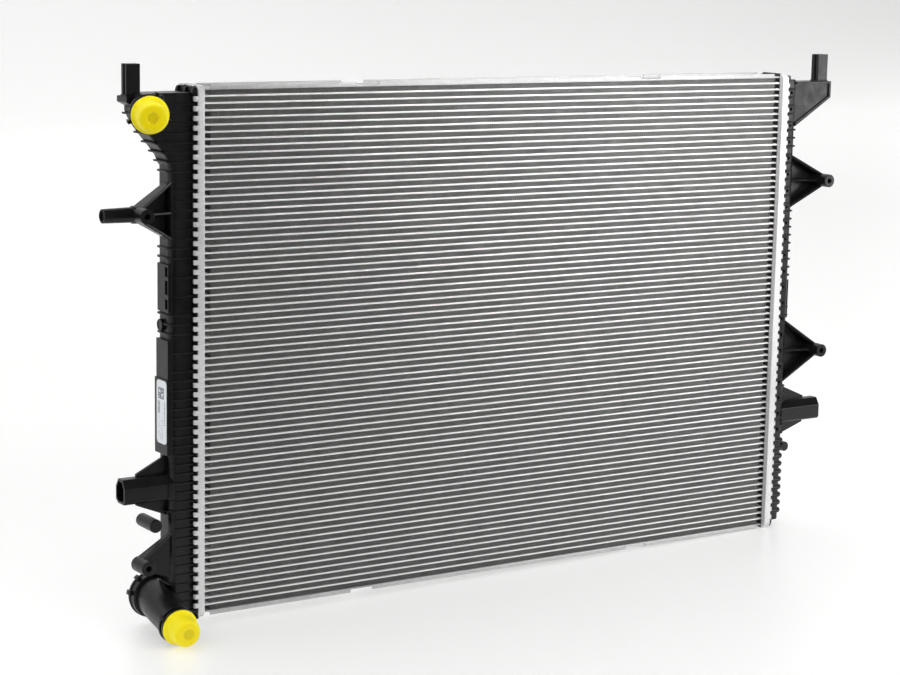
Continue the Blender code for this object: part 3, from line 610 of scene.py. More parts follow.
def side_plate(name, node, web_low, web_high, flange_end):
    """A channel with its flanges pointing away from the fins and an expansion cut-out at each quarter."""
    up = flange_end > web_high
    half = CORE_HALF_DEPTH + 1
    inner = half - 1.2
    near, far = (web_low, web_high) if up else (web_high, web_low)
    web = box((-CORE_HALF + 0.3, -half + 0.4, web_low), (CORE_HALF - 0.3, half - 0.4, web_high), 0.2, 1)
    flanges = []
    for face in (-1, 1):
        out_y, in_y = face * half, face * inner
        outline = [(out_y, near), (out_y, flange_end), (in_y, flange_end), (in_y, near)]
        flanges.append(prism(outline, "X", -FLANGE_HALF_LENGTH, FLANGE_HALF_LENGTH, 0.35, 2))
    cuts = []
    for x in (-CUT_X, CUT_X):
        for face in (-1, 1):
            ys = sorted((face * (inner - 1), face * (half + 1)))
            zs = sorted((far, flange_end + math.copysign(1, flange_end - far)))
            cuts.append(box((x - 12, ys[0], zs[0]), (x + 12, ys[1], zs[1]), 0.8, 2))
    made = solid(name, web, [("UNION", flanges), ("DIFFERENCE", cuts)])
    return dress(made, LOOKS["plate"], RADIATOR, [node])


# ---------------------------------------------------------------- header plates

def pan_outline(half, low, high, radius):
    return rounded([(-half, low), (half, low), (half, high), (-half, high)], (0, 1, 2, 3), radius, 5)


def header_plate(name, node, side):
    """A pan whose rim carries a row of tabs that curl over the tank's foot."""
    low, high = -PAN_OVERHANG, CORE_TOP + PAN_OVERHANG
    floor, wall_end = CORE_HALF + PAN_WALL, CORE_HALF + TAB_ROOT[side]
    outer, inner = PAN_HALF_DEPTH, PAN_HALF_DEPTH - PAN_WALL
    outside = pan_outline(outer, low, high, PAN_CORNER)
    inside = pan_outline(inner, low + PAN_WALL, high - PAN_WALL, PAN_CORNER - PAN_WALL)
    base = side_prism(side, outside, CORE_HALF, wall_end, 0.8, 2)
    well = side_prism(side, inside, floor, wall_end + 2, 0.3, 1)
    slots = []
    for i in range(TUBE_COUNT):
        half, rise = CORE_HALF_DEPTH + 0.3, TUBE_THICK / 2 + 0.3
        z = tube_z(i)
        slots.append(side_box(side, (CORE_HALF - 1, floor + 1), (-half, half), (z - rise, z + rise), 0))
    tabs = []
    end = CORE_HALF + PAN_RISE
    for face in (-1, 1):
        for i in range(TAB_COUNT):
            z = RIB_START_Z + (i + 0.5) * TAB_PITCH
            tabs.append(tab_shell(side, face, wall_end, end, z))
    for z_low, z_high in ((low, low + PAN_WALL), (high - PAN_WALL, high)):
        for ys in ((-13, -4), (4, 13)):
            tabs.append(side_box(side, (wall_end - 0.6, end - 0.8), ys, (z_low, z_high), 0.5, 2))
    made = solid(name, base, [("DIFFERENCE", [well]), ("DIFFERENCE", slots), ("UNION", tabs)])
    dress(made, LOOKS["rim"], RADIATOR, [node])
    weighted(made)
    return made


def tab_shell(side, face, start, end, z):
    """One crimp tab: straight off the rim's wall, then curled in over the tank's foot."""
    outer, inner = PAN_HALF_DEPTH, PAN_HALF_DEPTH - PAN_WALL
    bend = 2.2
    arc = [math.radians(90 * k / 5) for k in range(6)]
    outside = [(end - bend + bend * math.sin(t), outer - bend + bend * math.cos(t)) for t in arc]
    small = bend - PAN_WALL
    inside = [(end - bend + small * math.sin(t), outer - bend + small * math.cos(t)) for t in reversed(arc)]
    outline = [(start - 0.8, outer - 0.02)] + outside + [(end, outer - HOOK_REACH)]
    outline += [(end - PAN_WALL, outer - HOOK_REACH)] + inside + [(start - 0.8, inner)]
    placed = [(side * x, face * y) for x, y in outline]
    return prism(placed, "Z", z - TAB_WIDTH / 2, z + TAB_WIDTH / 2, 0.7, 3)


# ---------------------------------------------------------------- tanks

def tank_outline(crown, proud=0.0, side_proud=0.0, near=FOOT_FAR - 1):
    half = TANK_HALF_DEPTH + side_proud
    outline = [(near, -half), (crown + proud, -half), (crown + proud, half), (near, half)]
    return rounded(outline, (1, 2), CROWN_ROUND, 6)


def tank_base(side, crown):
    return prism(sided(side, tank_outline(crown)), "Z", TANK_LOW, TANK_HIGH, 0.8, 2)


def foot_shell(side):
    low, high = -PAN_OVERHANG + PAN_WALL + 0.3, CORE_TOP + PAN_OVERHANG - PAN_WALL - 0.3
    outline = pan_outline(FOOT_HALF, low, high, PAN_CORNER - PAN_WALL)
    return side_prism(side, outline, FOOT_NEAR, FOOT_FAR)


def gaps(spans):
    """The heights of the gaps between crimp tabs in the spans, each (low, high, every how many)."""
    found = []
    for i in range(TAB_COUNT + 1):
        z = RIB_START_Z + i * TAB_PITCH
        if any(low < z < high and i % every == 0 for low, high, every in spans):
            found.append(z)
    return found


def rib_shells(side, crown, spans, proud=RIB_PROUD, thick=RIB_THICK):
    """Plates right round the tank's section at the gaps between crimp tabs."""
    outline = sided(side, tank_outline(crown, proud, RIB_SIDE_PROUD, FOOT_FAR + 3))
    soft = min(thick * 0.42, proud * 0.8)
    return [prism(outline, "Z", z - thick / 2, z + thick / 2, soft, 3) for z in gaps(spans)]


def gusset_shells(side, far, spans):
    """Ribs on the front and back walls only, highest at the foot and fading out at far."""
    found = []
    wall = TANK_HALF_DEPTH - 1
    for z in gaps(spans):
        for face in (-1, 1):
            outline = [(FOOT_FAR - 1, wall), (far, wall), (far - 0.5, wall + 1.0), (far - 3, wall + 1.7)]
            outline += [(FOOT_FAR + 6, wall + 1.7), (FOOT_FAR + 2.4, wall + 3.4), (FOOT_FAR - 1, wall + 3.8)]
            placed = [(side * x, face * y) for x, y in outline]
            found.append(prism(placed, "Z", z - GUSSET_THICK / 2, z + GUSSET_THICK / 2, 0.6, 2))
    return found


def dimple_shells(side):
    """Shallow round marks in the front wall, at every second tab."""
    found = []
    for i in range(11, TAB_COUNT - 1, 2):
        start = Vector((side * DIMPLE_X, -TANK_HALF_DEPTH - 3, RIB_START_Z + (i + 0.55) * TAB_PITCH))
        found.append(lathe(start, TO_BACK, [(0, DIMPLE_R), (4.8, DIMPLE_R)], 16))
    return found


def end_ears(side):
    """Rounded tongues at both ends of the foot, one at each corner and one in the middle."""
    found = []
    for y_low, y_high, half in ((-17.2, -13.5, 3.1), (-1.2, 1.8, 2.6), (13.5, 17.2, 3.1)):
        turns = [math.radians(180 * k / 10) for k in range(11)]
        for z, sign in ((CORE_TOP - 5, 1), (5, -1)):
            arch = [(side * (333.3 + half * math.cos(t)), z + sign * 6.4 * math.sin(t)) for t in turns]
            found.append(prism(arch, "Y", y_low, y_high, 0.5, 2))
    return found


def hollow_shells(side, crown, parting=None):
    """The space inside the tank, or the two spaces above and below an inner wall at the parting height."""
    low, high = TANK_LOW + TANK_WALL, TANK_HIGH - TANK_WALL
    spans = [(low, high)]
    if parting:
        spans = [(low, parting - TANK_WALL / 2), (parting + TANK_WALL / 2, high)]
    half = TANK_HALF_DEPTH - TANK_WALL
    return [side_box(side, (FOOT_NEAR - 1, crown - TANK_WALL), (-half, half), span, 0) for span in spans]


def wedge(side, root, tip, bevel=0.45):
    """A tapering bar. Its root and its tip are each an x with a y range and a z range."""
    rings = []
    for x, (front, back), (low, high) in (root, tip):
        corners = ((front, low), (back, low), (back, high), (front, high))
        rings.append([Vector((side * x, y, z)) for y, z in corners])
    return bevelled(loft(rings), bevel, 2)


def arm_shells(side, crown, boss_z, base_low, base_high):
    """Two sloping beams that meet at the boss, a rib between them and a web along the back."""
    root, tip = crown - 2, BOSS_X + 1
    rib_z = (boss_z - 1.1, boss_z + 1.1)
    rib_root, rib_tip = (root, (ARM_ROOT_FRONT, ARM_BACK), rib_z), (tip, (ARM_FRONT + 0.6, ARM_BACK), rib_z)
    return [
        arm_beam(side, crown, boss_z, base_low, -1, ARM_BACK),
        arm_beam(side, crown, boss_z, base_high, 1, ARM_BACK),
        wedge(side, rib_root, rib_tip),
        arm_web(side, crown, boss_z, base_low + 1, base_high - 1, ARM_BACK),
    ]


def arm_beam(side, crown, boss_z, base, sign, back):
    """One beam from the tank's wall to the boss, above the boss's centre (sign 1) or below it (sign -1)."""
    root, tip = crown - 2, BOSS_X + 1
    end = boss_z + sign * (BOSS_R - 0.4)
    drop = sign * ARM_THICK * math.hypot(1, (end - base) / (tip - root))
    near = (root, (ARM_ROOT_FRONT, back), sorted((base, base - drop)))
    return wedge(side, near, (tip, (ARM_FRONT, back), sorted((end, end - drop))))


def arm_web(side, crown, boss_z, low, high, back):
    """The thin wall along an arm's back, from low to high at the tank and within the boss at its tip."""
    root, tip, reach = crown - 2, BOSS_X + 1, BOSS_R - 1
    web = [(root, low), (tip, boss_z - reach), (tip, boss_z + reach), (root, high)]
    return prism(sided(side, web), "Y", back - 2.4, back - 0.2, 0.3, 1)


def lever_shells(side, crown, boss_z, base):
    """A single beam down to a boss, with a web under it."""
    beam = arm_beam(side, crown, boss_z, base, 1, LEVER_BACK)
    return [beam, arm_web(side, crown, boss_z, boss_z - 17, base - 1, LEVER_BACK)]


def boss_shell(side, z, back=ARM_BACK):
    length = back - BOSS_FRONT
    profile = eased([(0, BOSS_R - 1.2), (0, BOSS_R), (length, BOSS_R + 0.3), (length, 0)], 0.7, 3)
    return lathe(Vector((side * BOSS_X, BOSS_FRONT, z)), TO_BACK, [(0, 0)] + profile, 36)


def boss_hole(side, z):
    profile = [(0, BOSS_HOLE_R + 1.3), (1.8, BOSS_HOLE_R), (19, BOSS_HOLE_R)]
    return lathe(Vector((side * BOSS_X, BOSS_FRONT - 1, z)), TO_BACK, profile, 24)


def peg_shell(start, length, radius, face, soft, steps):
    """A round bar that runs back from start, its rims rounded down to a flat face at each end."""
    profile = eased([(0, face), (0, radius), (length, radius), (length, face)], soft, 3)
    return lathe(Vector(start), TO_BACK, [(0, 0)] + profile, steps)


def pin_shells(side):
    """The grooved locating pin, a little wider at its foot."""
    x, y = PIN_WIDE / 2, PIN_DEEP / 2
    neck = x - 1.8
    half = [(x, -y), (x, -y + 3), (neck, -y + 3.3), (neck, -y + 5.7), (x, -y + 6), (x, y)]
    outline = half + [(-a, b) for a, b in reversed(half)]
    placed = [(side * PIN_X + a, PIN_Y + b) for a, b in outline]
    foot = [(side * PIN_X - x - 0.7, PIN_Y - y - 0.5), (side * PIN_X + x + 0.7, PIN_Y - y - 0.5)]
    foot += [(side * PIN_X + x + 0.7, PIN_Y + y + 0.5), (side * PIN_X - x - 0.7, PIN_Y + y + 0.5)]
    return [
        prism(placed, "Z", BRACKET_TOP - 2, PIN_TOP, 0.45, 2),
        prism(foot, "Z", BRACKET_TOP - 2, BRACKET_TOP + 1.2, 0.6, 2),
    ]


def plastic_piece(name, node, base, steps, flat=True):
    """A piece in tank plastic, cut and joined in steps."""
    made = solid(name, base, steps)
    dress(made, LOOKS["plastic"], RADIATOR, [node])
    if flat:
        weighted(made)


def inlet_chamber(side):
    """The left tank's swollen top, the block that the inlet port springs from, and the ribs round them."""
    wall = [(345, 387), (354, 399), (355.8, 401.2), (358.9, 408.3), (366.1, 417.4), (372.2, 424.5)]
    wall += [(379.3, 433.5), (384.4, 441.5), (387, 447.5), (387, TANK_HIGH), (345, TANK_HIGH)]
    chamber = prism(sided(side, wall), "Y", -TANK_HALF_DEPTH + 0.2, TANK_HALF_DEPTH - 0.2, 2.5, 4)
    block = [(363, 430), (373, 430), (387, 446), (387, TANK_HIGH - 1), (363, TANK_HIGH - 1)]
    ribs = []
    for z in gaps([(396, 448, 1)]):
        reach = np.interp(z, [p[1] for p in wall[1:9]], [p[0] for p in wall[1:9]])
        span = (338.0, reach + RIB_PROUD)
        ribs.append(side_box(side, span, (-13.8, 13.8), (z - 0.9, z + 0.9), 0.6, 2))
    return [chamber, prism(sided(side, block), "Y", -21.0, 0, 3.0, 4)] + ribs


def crown_plates(side, crown):
    """The raised plates on the left tank's crown: under the label, above it, and the one with windows."""
    return [
        side_box(side, (crown - 2, crown + 2.7), (-12.9, 10.4), (210, 248.5), 0.5, 2),
        side_box(side, (crown - 2, LABEL_X), (-13.4, 11.6), (146.5, 214), 0.5, 2),
        side_box(side, (crown - 2, crown + 2.3), (-13.3, 8.6), (273, 315), 0.5, 2),
    ]


def plate_windows(side, crown):
    spans = ((304.0, 312.8), (288.5, 301.0), (275.8, 284.6))
    return [side_box(side, (crown + 0.1, crown + 4), (-12.2, -7.0), span, 0.4, 1) for span in spans]


def stud_shell(crown):
    """A button with a sunken face on the left tank's crown."""
    height = crown - STUD_START
    profile = eased([(0, 5.4), (height + 2.9, 5.4), (height + 3.2, 4.4), (height + 2.4, 3.6)], 0.3)
    return lathe(Vector((-STUD_START, STUD_Y, STUD_Z)), TO_LEFT, profile + [(height + 2.4, 0)], 32)


def side_pin_shells():
    """The round pin on the upper left arm, thicker at its root, and the shallow dish to cut in its end."""
    z, tip = UPPER_LEFT_ARM[0], SIDE_PIN_TIP - SIDE_PIN_START
    profile = [(0, 6), (0, SIDE_PIN_R + 1.4), (11, SIDE_PIN_R + 1.0), (11.4, SIDE_PIN_R), (14, SIDE_PIN_R)]
    profile = [(0, 0)] + eased(profile + [(tip, SIDE_PIN_R - 0.5), (tip, 4)], 0.6, 3)
    pin = lathe(Vector((-SIDE_PIN_START, SIDE_PIN_Y, z)), TO_LEFT, profile, 32)
    dish_start = Vector((-SIDE_PIN_TIP - 1, SIDE_PIN_Y, z))
    return pin, lathe(dish_start, -TO_LEFT, [(0, 5.2), (2, 4.4), (3.2, 4.2)], 28)


def left_tank():
    side, crown, top = LEFT, LEFT_CROWN, TANK_HIGH - TANK_WALL
    side_pin, pin_dish = side_pin_shells()
    peg = peg_shell((-371.4, -17, 85.9), 29.5, 6, 4, 0.9, 32)
    under = [(385, 450), (BRACKET_END, 455.2), (BRACKET_END, BRACKET_TOP), (385, BRACKET_TOP)]
    bracket = prism(sided(side, under), "Y", BRACKET_FRONT, BRACKET_BACK, 0.6, 2)
    spans = ((5, 34, 1), (80, 81, 1), (96, 102, 1), (250, 272, 1), (313, 335, 1), (387, 396, 1))
    gussets = ((34, 146, 1), (272, 313, 2), (335, 387, 1), (400, 460, 1))
    long_gussets = ((146, 214, 1), (214, 250, 2))
    space = [(340, 405.5), (crown - TANK_WALL, 405.5), (381, 444.5), (384.7, 451), (384.7, top), (340, top)]
    bores = [
        lathe(INLET_BRIM - INLET_AXIS * 45, INLET_AXIS, [(0, PORT_BORE_R), (30, PORT_BORE_R)]),
        lathe(Vector((-crown + 8, 0, BARREL_Z)), TO_LEFT, [(0, PORT_BORE_R), (20, PORT_BORE_R)]),
        prism(sided(side, space), "Y", -10, 10, 0),
    ]
    lever = lever_shells(side, crown, LEVER_BOSS_Z, LEVER_BASE_Z)
    plastic_piece("left_tank_detail", "left_tank", tank_base(side, crown), [
        ("UNION", [foot_shell(side)] + inlet_chamber(side) + rib_shells(side, crown, spans)),
        ("UNION", crown_plates(side, crown) + gusset_shells(side, crown - 3, gussets) + end_ears(side)),
        ("UNION", gusset_shells(side, crown + 1.8, long_gussets)),
        ("DIFFERENCE", plate_windows(side, crown) + hollow_shells(side, crown, CORE_MID_Z) + bores),
        ("UNION", arm_shells(side, crown, *UPPER_LEFT_ARM) + lever),
        ("UNION", [boss_shell(side, UPPER_LEFT_ARM[0]), boss_shell(side, LEVER_BOSS_Z, LEVER_BACK)]),
        ("UNION", [side_pin, peg, stud_shell(crown), bracket] + pin_shells(side)),
        ("DIFFERENCE", [boss_hole(side, UPPER_LEFT_ARM[0]), boss_hole(side, LEVER_BOSS_Z), pin_dish]),
    ])


def right_tank():
    side, crown = RIGHT, RIGHT_CROWN
    spans = ((88, 150, 1), (215, 232, 1), (258, 330, 1), (388, 412, 1))
    block = side_box(side, (crown - 2, crown + 2.6), (-9, 9), (217, 257), 0.6, 2)
    knob = peg_shell((358, -8, 79.5), 20, 5, 3.5, 0.8, 28)
    knob_web = side_box(side, (crown - 1, 358), (-6, 11), (77, 82), 0.8, 2)
    under = [(crown - 1.2, 415), (BRACKET_END, 443.8), (BRACKET_END, BRACKET_TOP), (crown - 1.2, BRACKET_TOP)]
    rim = prism(sided(side, under), "Y", BRACKET_FRONT, BRACKET_BACK, 0.6, 2)
    inner_end, inner_top = BRACKET_END - 2.4, BRACKET_TOP - 2.2
    inner = [(crown - 4, 417.2), (inner_end, 445.3), (inner_end, inner_top), (crown - 4, inner_top)]
    recess = prism(sided(side, inner), "Y", BRACKET_FRONT - 2, BRACKET_FRONT + 1.6, 0.4, 2)
    hook = side_box(side, (331, 339), (-14.5, -8), (TANK_HIGH - 1, TANK_HIGH + 4.2), 0.8, 2)
    arms = arm_shells(side, crown, *UPPER_RIGHT_ARM) + arm_shells(side, crown, *LOWER_RIGHT_ARM)
    boss_heights = (UPPER_RIGHT_ARM[0], LOWER_RIGHT_ARM[0])
    bosses = [boss_shell(side, z) for z in boss_heights]
    plastic_piece("right_tank_detail", "right_tank", tank_base(side, crown), [
        ("UNION", [foot_shell(side), block] + rib_shells(side, crown, spans)),
        ("UNION", rib_shells(side, crown, [(5, 88, 1)], BEAD_PROUD, BEAD_THICK) + end_ears(side)),
        ("UNION", gusset_shells(side, crown - 3, [(88, 460, 1)])),
        ("DIFFERENCE", hollow_shells(side, crown) + dimple_shells(side)),
        ("UNION", arms + [rim]),
        ("DIFFERENCE", [recess]),
        ("UNION", bosses + [knob, knob_web, hook] + pin_shells(side)),
        ("DIFFERENCE", [boss_hole(side, z) for z in boss_heights]),
    ])


def socket_outline(shrink=0.0):
    front, back = SOCKET_FRONT + shrink, SOCKET_BACK - shrink
    low, high = SOCKET_BOTTOM + shrink, SOCKET_TOP - shrink
    cut, tall = 4.6 - 0.6 * shrink, 7.2 - 0.6 * shrink
    points = [(front + 2, low), (back - cut, low), (back, low + 3), (back, high - tall)]
    points += [(back - cut, high), (front + cut, high), (front, high - tall), (front, low + 2)]
    return points


def mount_socket(name, node, side, crown):
    root = crown - SOCKET_ROOT
    body = side_prism(side, socket_outline(), root, SOCKET_END, 0.5, 2)
    collar = side_prism(side, socket_outline(-0.9), root, crown + 2.6, 0.8, 2)
    mouth = side_prism(side, socket_outline(SOCKET_WALL), crown + 7.5, SOCKET_END + 1, 0.2, 1)
    plate = [(crown - 1, 91), (384, 103), (384, 131), (crown - 1, 146)]
    gusset = prism(sided(side, plate), "Y", -3.5, 0, 0.5, 2)
    plastic_piece(name, node, body, [("UNION", [collar, gusset]), ("DIFFERENCE", [mouth])])


# ---------------------------------------------------------------- ports, caps and label

def spigot_profile(start):
    profile = [(start, NECK_R), (-10.4, NECK_R), (-10.4, COLLAR_R), (-7.6, COLLAR_R)]
    profile += [(-7.6, NECK_R), (-5.2, NECK_R), (-5.2, COLLAR_R - 0.4), (-2.6, COLLAR_R - 0.4)]
    profile += [(-2.6, SPIGOT_R), (SPIGOT_END - 1, SPIGOT_R), (SPIGOT_END, SPIGOT_R - 0.8)]
    return eased(profile, 0.4, 2)


def collar_lugs(brim, axis, turns):
    """Small clip lugs on the collar's rim, at the given turns about the axis."""
    u, v = across(axis)
    found = []
    for turn in turns:
        direction = u * math.cos(math.radians(turn)) + v * math.sin(math.radians(turn))
        sideways = axis.cross(direction)
        centre = brim - axis * 6.4 + direction * (COLLAR_R + 0.6)
        shell = box((-2.4, -4.0, -1.6), (2.4, 4.0, 1.6), 0.5, 2)
        basis = Matrix((direction, axis, sideways)).transposed().to_4x4()
        shell.transform(Matrix.Translation(centre) @ basis)
        found.append(shell)
    return found


def inlet_port():
    base = lathe(INLET_BRIM, INLET_AXIS, spigot_profile(-34), 56)
    block = box((-430, -21.3, 400), (-330, 40, 500), 0)
    bore = lathe(INLET_BRIM, INLET_AXIS, [(-45, PORT_BORE_R), (SPIGOT_END + 1, PORT_BORE_R)], 48)
    steps = [("UNION", collar_lugs(INLET_BRIM, INLET_AXIS, (20, 160, 250))), ("DIFFERENCE", [block, bore])]
    plastic_piece("inlet_port_detail", "inlet_port", base, steps, flat=False)


def elbow_base():
    """The elbow's pipe: a stepped drum behind the tank's foot that bends and narrows to the spigot."""
    centre = Vector((BARREL_X, BARREL_BACK, BARREL_Z))
    step = Vector((BARREL_X, BARREL_STEP, BARREL_Z))
    neck = OUTLET_BRIM - OUTLET_AXIS * 10.4
    start = Vector((BARREL_X - 1, 3, BARREL_Z - 1))
    drum = [(centre, 0, BARREL_R - 3), (centre, 0.8, BARREL_R - 0.8), (centre, 2.4, BARREL_R)]
    drum += [(step, -0.5, BARREL_R), (step, 0, BARREL_R - 0.6)]
    drum += [(step, 0.3, BARREL_NECK_R), (start, 0, BARREL_NECK_R)]
    stations = [(at + TO_FRONT * ahead, radius, TO_FRONT) for at, ahead, radius in drum]
    for k in range(1, 9):
        t = k / 8
        swell = BARREL_NECK_R + (NECK_R + 0.6 - BARREL_NECK_R) * (t * t * (3 - 2 * t))
        stations.append((start.lerp(neck, t), swell, TO_FRONT.lerp(OUTLET_AXIS, t).normalized()))
    return loft([ring(at, radius, axis, 64) for at, radius, axis in stations])


def drum_lugs(turns):
    """Small clip lugs on the drum's rim, at the given turns about its axis."""
    found = []
    for turn in turns:
        direction = Vector((math.cos(math.radians(turn)), 0, math.sin(math.radians(turn))))
        at = Vector((BARREL_X, BARREL_BACK - 7, BARREL_Z)) + direction * (BARREL_R + 0.5)
        shell = box((-2.6, -3.4, -2.2), (2.6, 3.4, 2.2), 0.7, 2)
        shell.transform(Matrix.Translation(at) @ Matrix.Rotation(-math.radians(turn), 4, "Y"))
        found.append(shell)
    return found


def outlet_elbow():
    rim = eased([(0, 17), (0, BARREL_R + 0.8), (2, BARREL_R + 0.8), (2, 17)], 0.4)
    ridge = lathe(Vector((BARREL_X, BARREL_BACK - 4.5, BARREL_Z)), TO_FRONT, rim, 64)
    spigot = lathe(OUTLET_BRIM, OUTLET_AXIS, spigot_profile(-14), 56)
    tank_near = (-LEFT_CROWN - RIB_PROUD - 0.3, -TANK_HALF_DEPTH - 1.5, TANK_LOW - 0.3)
    tank_space = box(tank_near, (-300, TANK_HALF_DEPTH + 1.5, 60), 0)
    header_space = box((-CORE_HALF - PAN_RISE - 1.5, -60, -40), (-300, 40, 60), 0)
    bore = lathe(OUTLET_BRIM, OUTLET_AXIS, [(-40, PORT_BORE_R), (SPIGOT_END + 1, PORT_BORE_R)], 48)
    barrel_bore = lathe(Vector((BARREL_X - 1, 18, BARREL_Z - 2)), TO_FRONT, [(0, 10), (34, 8.5)], 48)
    lugs = drum_lugs((128, 168)) + collar_lugs(OUTLET_BRIM, OUTLET_AXIS, (200, 330))
    steps = [
        ("UNION", [spigot, ridge] + lugs),
        ("DIFFERENCE", [tank_space, header_space, bore, barrel_bore]),
    ]
    plastic_piece("outlet_elbow_detail", "outlet_elbow", elbow_base(), steps, flat=False)


def port_cap(name, node, body, brim, axis):
    """A transport cap: a brim, a tapered cup with a dimple in its end, and a hollow for the spigot."""
    outside = [(-2.4, CAP_BRIM_R - 1.6), (-2.4, CAP_BRIM_R), (0.2, CAP_BRIM_R), (0.8, 13.9), (2.2, 13.3)]
    outside += [(CAP_LENGTH - 3.4, 12.3), (CAP_LENGTH - 0.9, 11.4), (CAP_LENGTH, 8.8)]
    outside += [(CAP_LENGTH, 5.4), (CAP_LENGTH - 0.9, 4.6), (CAP_LENGTH - 1.0, 2.0)]
    inside = [(-3.4, SPIGOT_R + 0.3), (CAP_LENGTH - 2.4, SPIGOT_R + 0.2), (CAP_LENGTH - 2.4, 0)]
    profile = [(-2.4, 12.5)] + eased(outside, 0.9, 3) + [(CAP_LENGTH - 1.0, 0)]
    base = lathe(brim, axis, profile, 64)
    hollow = lathe(brim, axis, inside, 64)
    made = solid(name, base, [("DIFFERENCE", [hollow])])
    dress(made, LOOKS[node], body, [node], 30)


def part_label():
    """A rounded white film that carries only a generic code square, blocks and bars, with no lettering."""
    face = -LABEL_X - 0.55
    outline = rounded([(-12.6, 156.2), (6.2, 156.2), (6.2, 212.5), (-12.6, 212.5)], (0, 1, 2, 3), 3.6, 6)
    made = object_of("part_label_detail", prism(outline, "X", face, -LABEL_X - 0.05, 0))
    dress(made, LOOKS["label"], RADIATOR, ["part_label"])
    chance = random.Random(11)
    marks = []

    def mark(y, z, width, height):
        low = (face - 0.05, y - width / 2, z - height / 2)
        marks.append(box(low, (face + 0.04, y + width / 2, z + height / 2), 0))

    for row in range(9):
        for column in range(10):
            if row % 8 == 0 or column % 9 == 0 or chance.random() < 0.55:
                mark(2.4 - column * 1.1, 205.4 - row * 1.1, 1.12, 1.12)
    for index in range(11):
        mark(1.7, 193.4 - index * 1.0, chance.uniform(3.2, 4.8), 0.62)
    for index in range(13):
        mark(-9.3, 194.0 - index * 1.7, chance.uniform(1.2, 2.6), 0.8)
    for column in range(3):
        for index in range(16):
            if chance.random() < 0.7:
                mark(-5.6 + column * 3.4, 180.0 - index * 1.35, chance.uniform(0.5, 1.4), 0.5)
    ink = object_of("label_print", joined(marks))
    dress(ink, LOOKS["ink"], RADIATOR, [])


# ---------------------------------------------------------------- studio

def area_light(name, at, target, size, power, glossy=True, spread=180):
    """A light that the camera doesn't see; with glossy off nothing reflects it either."""
    light = bpy.data.lights.new(name, "AREA")
    light.shape = "RECTANGLE"
    light.size, light.size_y = size
    light.energy = power
    light.spread = math.radians(spread)
    made = linked(name, light)
    made.location = at
    made.rotation_euler = (Vector(target) - Vector(at)).to_track_quat("-Z", "Y").to_euler()
    made.visible_glossy = glossy
    made.visible_camera = False


def sky():
    """A white room that darkens towards the front right, where nothing stands to be reflected."""
    world = bpy.data.worlds.new("studio")
    world.use_nodes = True
    tree = world.node_tree
    direction = tree.nodes.new("ShaderNodeTexCoord").outputs["Generated"]
    facing = tree.nodes.new("ShaderNodeVectorMath")
    facing.operation = "DOT_PRODUCT"
    facing.inputs[1].default_value = Vector((0.5, -0.85, -0.1)).normalized()
    tree.links.new(direction, facing.inputs[0])
    fade = tree.nodes.new("ShaderNodeMapRange")
    fade.interpolation_type = "SMOOTHSTEP"
    for key, value in (("From Min", -0.35), ("From Max", 0.45), ("To Min", 1.0), ("To Max", 0.04)):
        fade.inputs[key].default_value = value
    tree.links.new(facing.outputs["Value"], fade.inputs["Value"])
    tree.links.new(fade.outputs["Result"], tree.nodes["Background"].inputs["Strength"])
    tree.nodes["Background"].inputs["Color"].default_value = (1.0, 1.0, 1.0, 1.0)
    bpy.context.scene.world = world


def stage_sheet(name, rows, material):
    """A sheet across the whole studio through the given (y, z) rows, tilted to lie under the radiator."""
    points = [(x, y, z) for y, z in rows for x in (-STAGE_HALF_WIDTH, STAGE_HALF_WIDTH)]
    faces = [(2 * i, 2 * i + 1, 2 * i + 3, 2 * i + 2) for i in range(len(rows) - 1)]
    data = bpy.data.meshes.new(name)
    data.from_pydata(points, [], faces)
    data.shade_smooth()
    data.materials.append(material)
    made = linked(name, data)
    made.location = FLOOR_AT
    made.rotation_euler = (0, -math.atan2(FLOOR_RISE, FLOOR_RUN), 0)
    return made


def camera_only(made):
    """Stage that other views show, but that neither lights the radiator nor reflects in it."""
    made.visible_diffuse = False
    made.visible_glossy = False
    made.visible_transmission = False
    made.visible_shadow = False


def glowing(name, base, glow, strength, roughness=0.5):
    """A plain matt stage material that gives off some light of its own."""
    material = bpy.data.materials.new(name)
    material.use_nodes = True
    shader = material.node_tree.nodes["Principled BSDF"]
    shader.inputs["Base Color"].default_value = (base, base, base, 1.0)
    shader.inputs["Roughness"].default_value = roughness
    shader.inputs["Emission Color"].default_value = (*glow, 1.0)
    shader.inputs["Emission Strength"].default_value = strength
    return material


def surroundings():
    """A pale floor and backdrop, a front half of the floor and a round room that only the camera sees."""
    pale = glowing("studio_floor", 0.56, (1.0, 1.0, 0.99), 0.43, 0.35)
    turns = [math.radians(a) for a in range(10, 91, 10)]
    curve = [(FLOOR_BACK + WALL_CURVE * math.sin(t), WALL_CURVE - WALL_CURVE * math.cos(t)) for t in turns]
    wall = [(FLOOR_BACK + WALL_CURVE, WALL_TOP)]
    stage_sheet("studio_floor", [(FLOOR_FRONT, 0.0), (FLOOR_BACK, 0.0)] + curve + wall, pale)
    camera_only(stage_sheet("studio_floor_front", [(FLOOR_NEAR_END, 0.0), (FLOOR_FRONT, 0.0)], pale))
    walls = bmesh.new()
    bmesh.ops.create_icosphere(walls, subdivisions=3, radius=ROOM_RADIUS / MM)
    room = object_of("studio_room", walls)
    room.data.materials.append(glowing("studio_room", 0.0, (0.9, 0.9, 0.9), 1.0))
    camera_only(room)


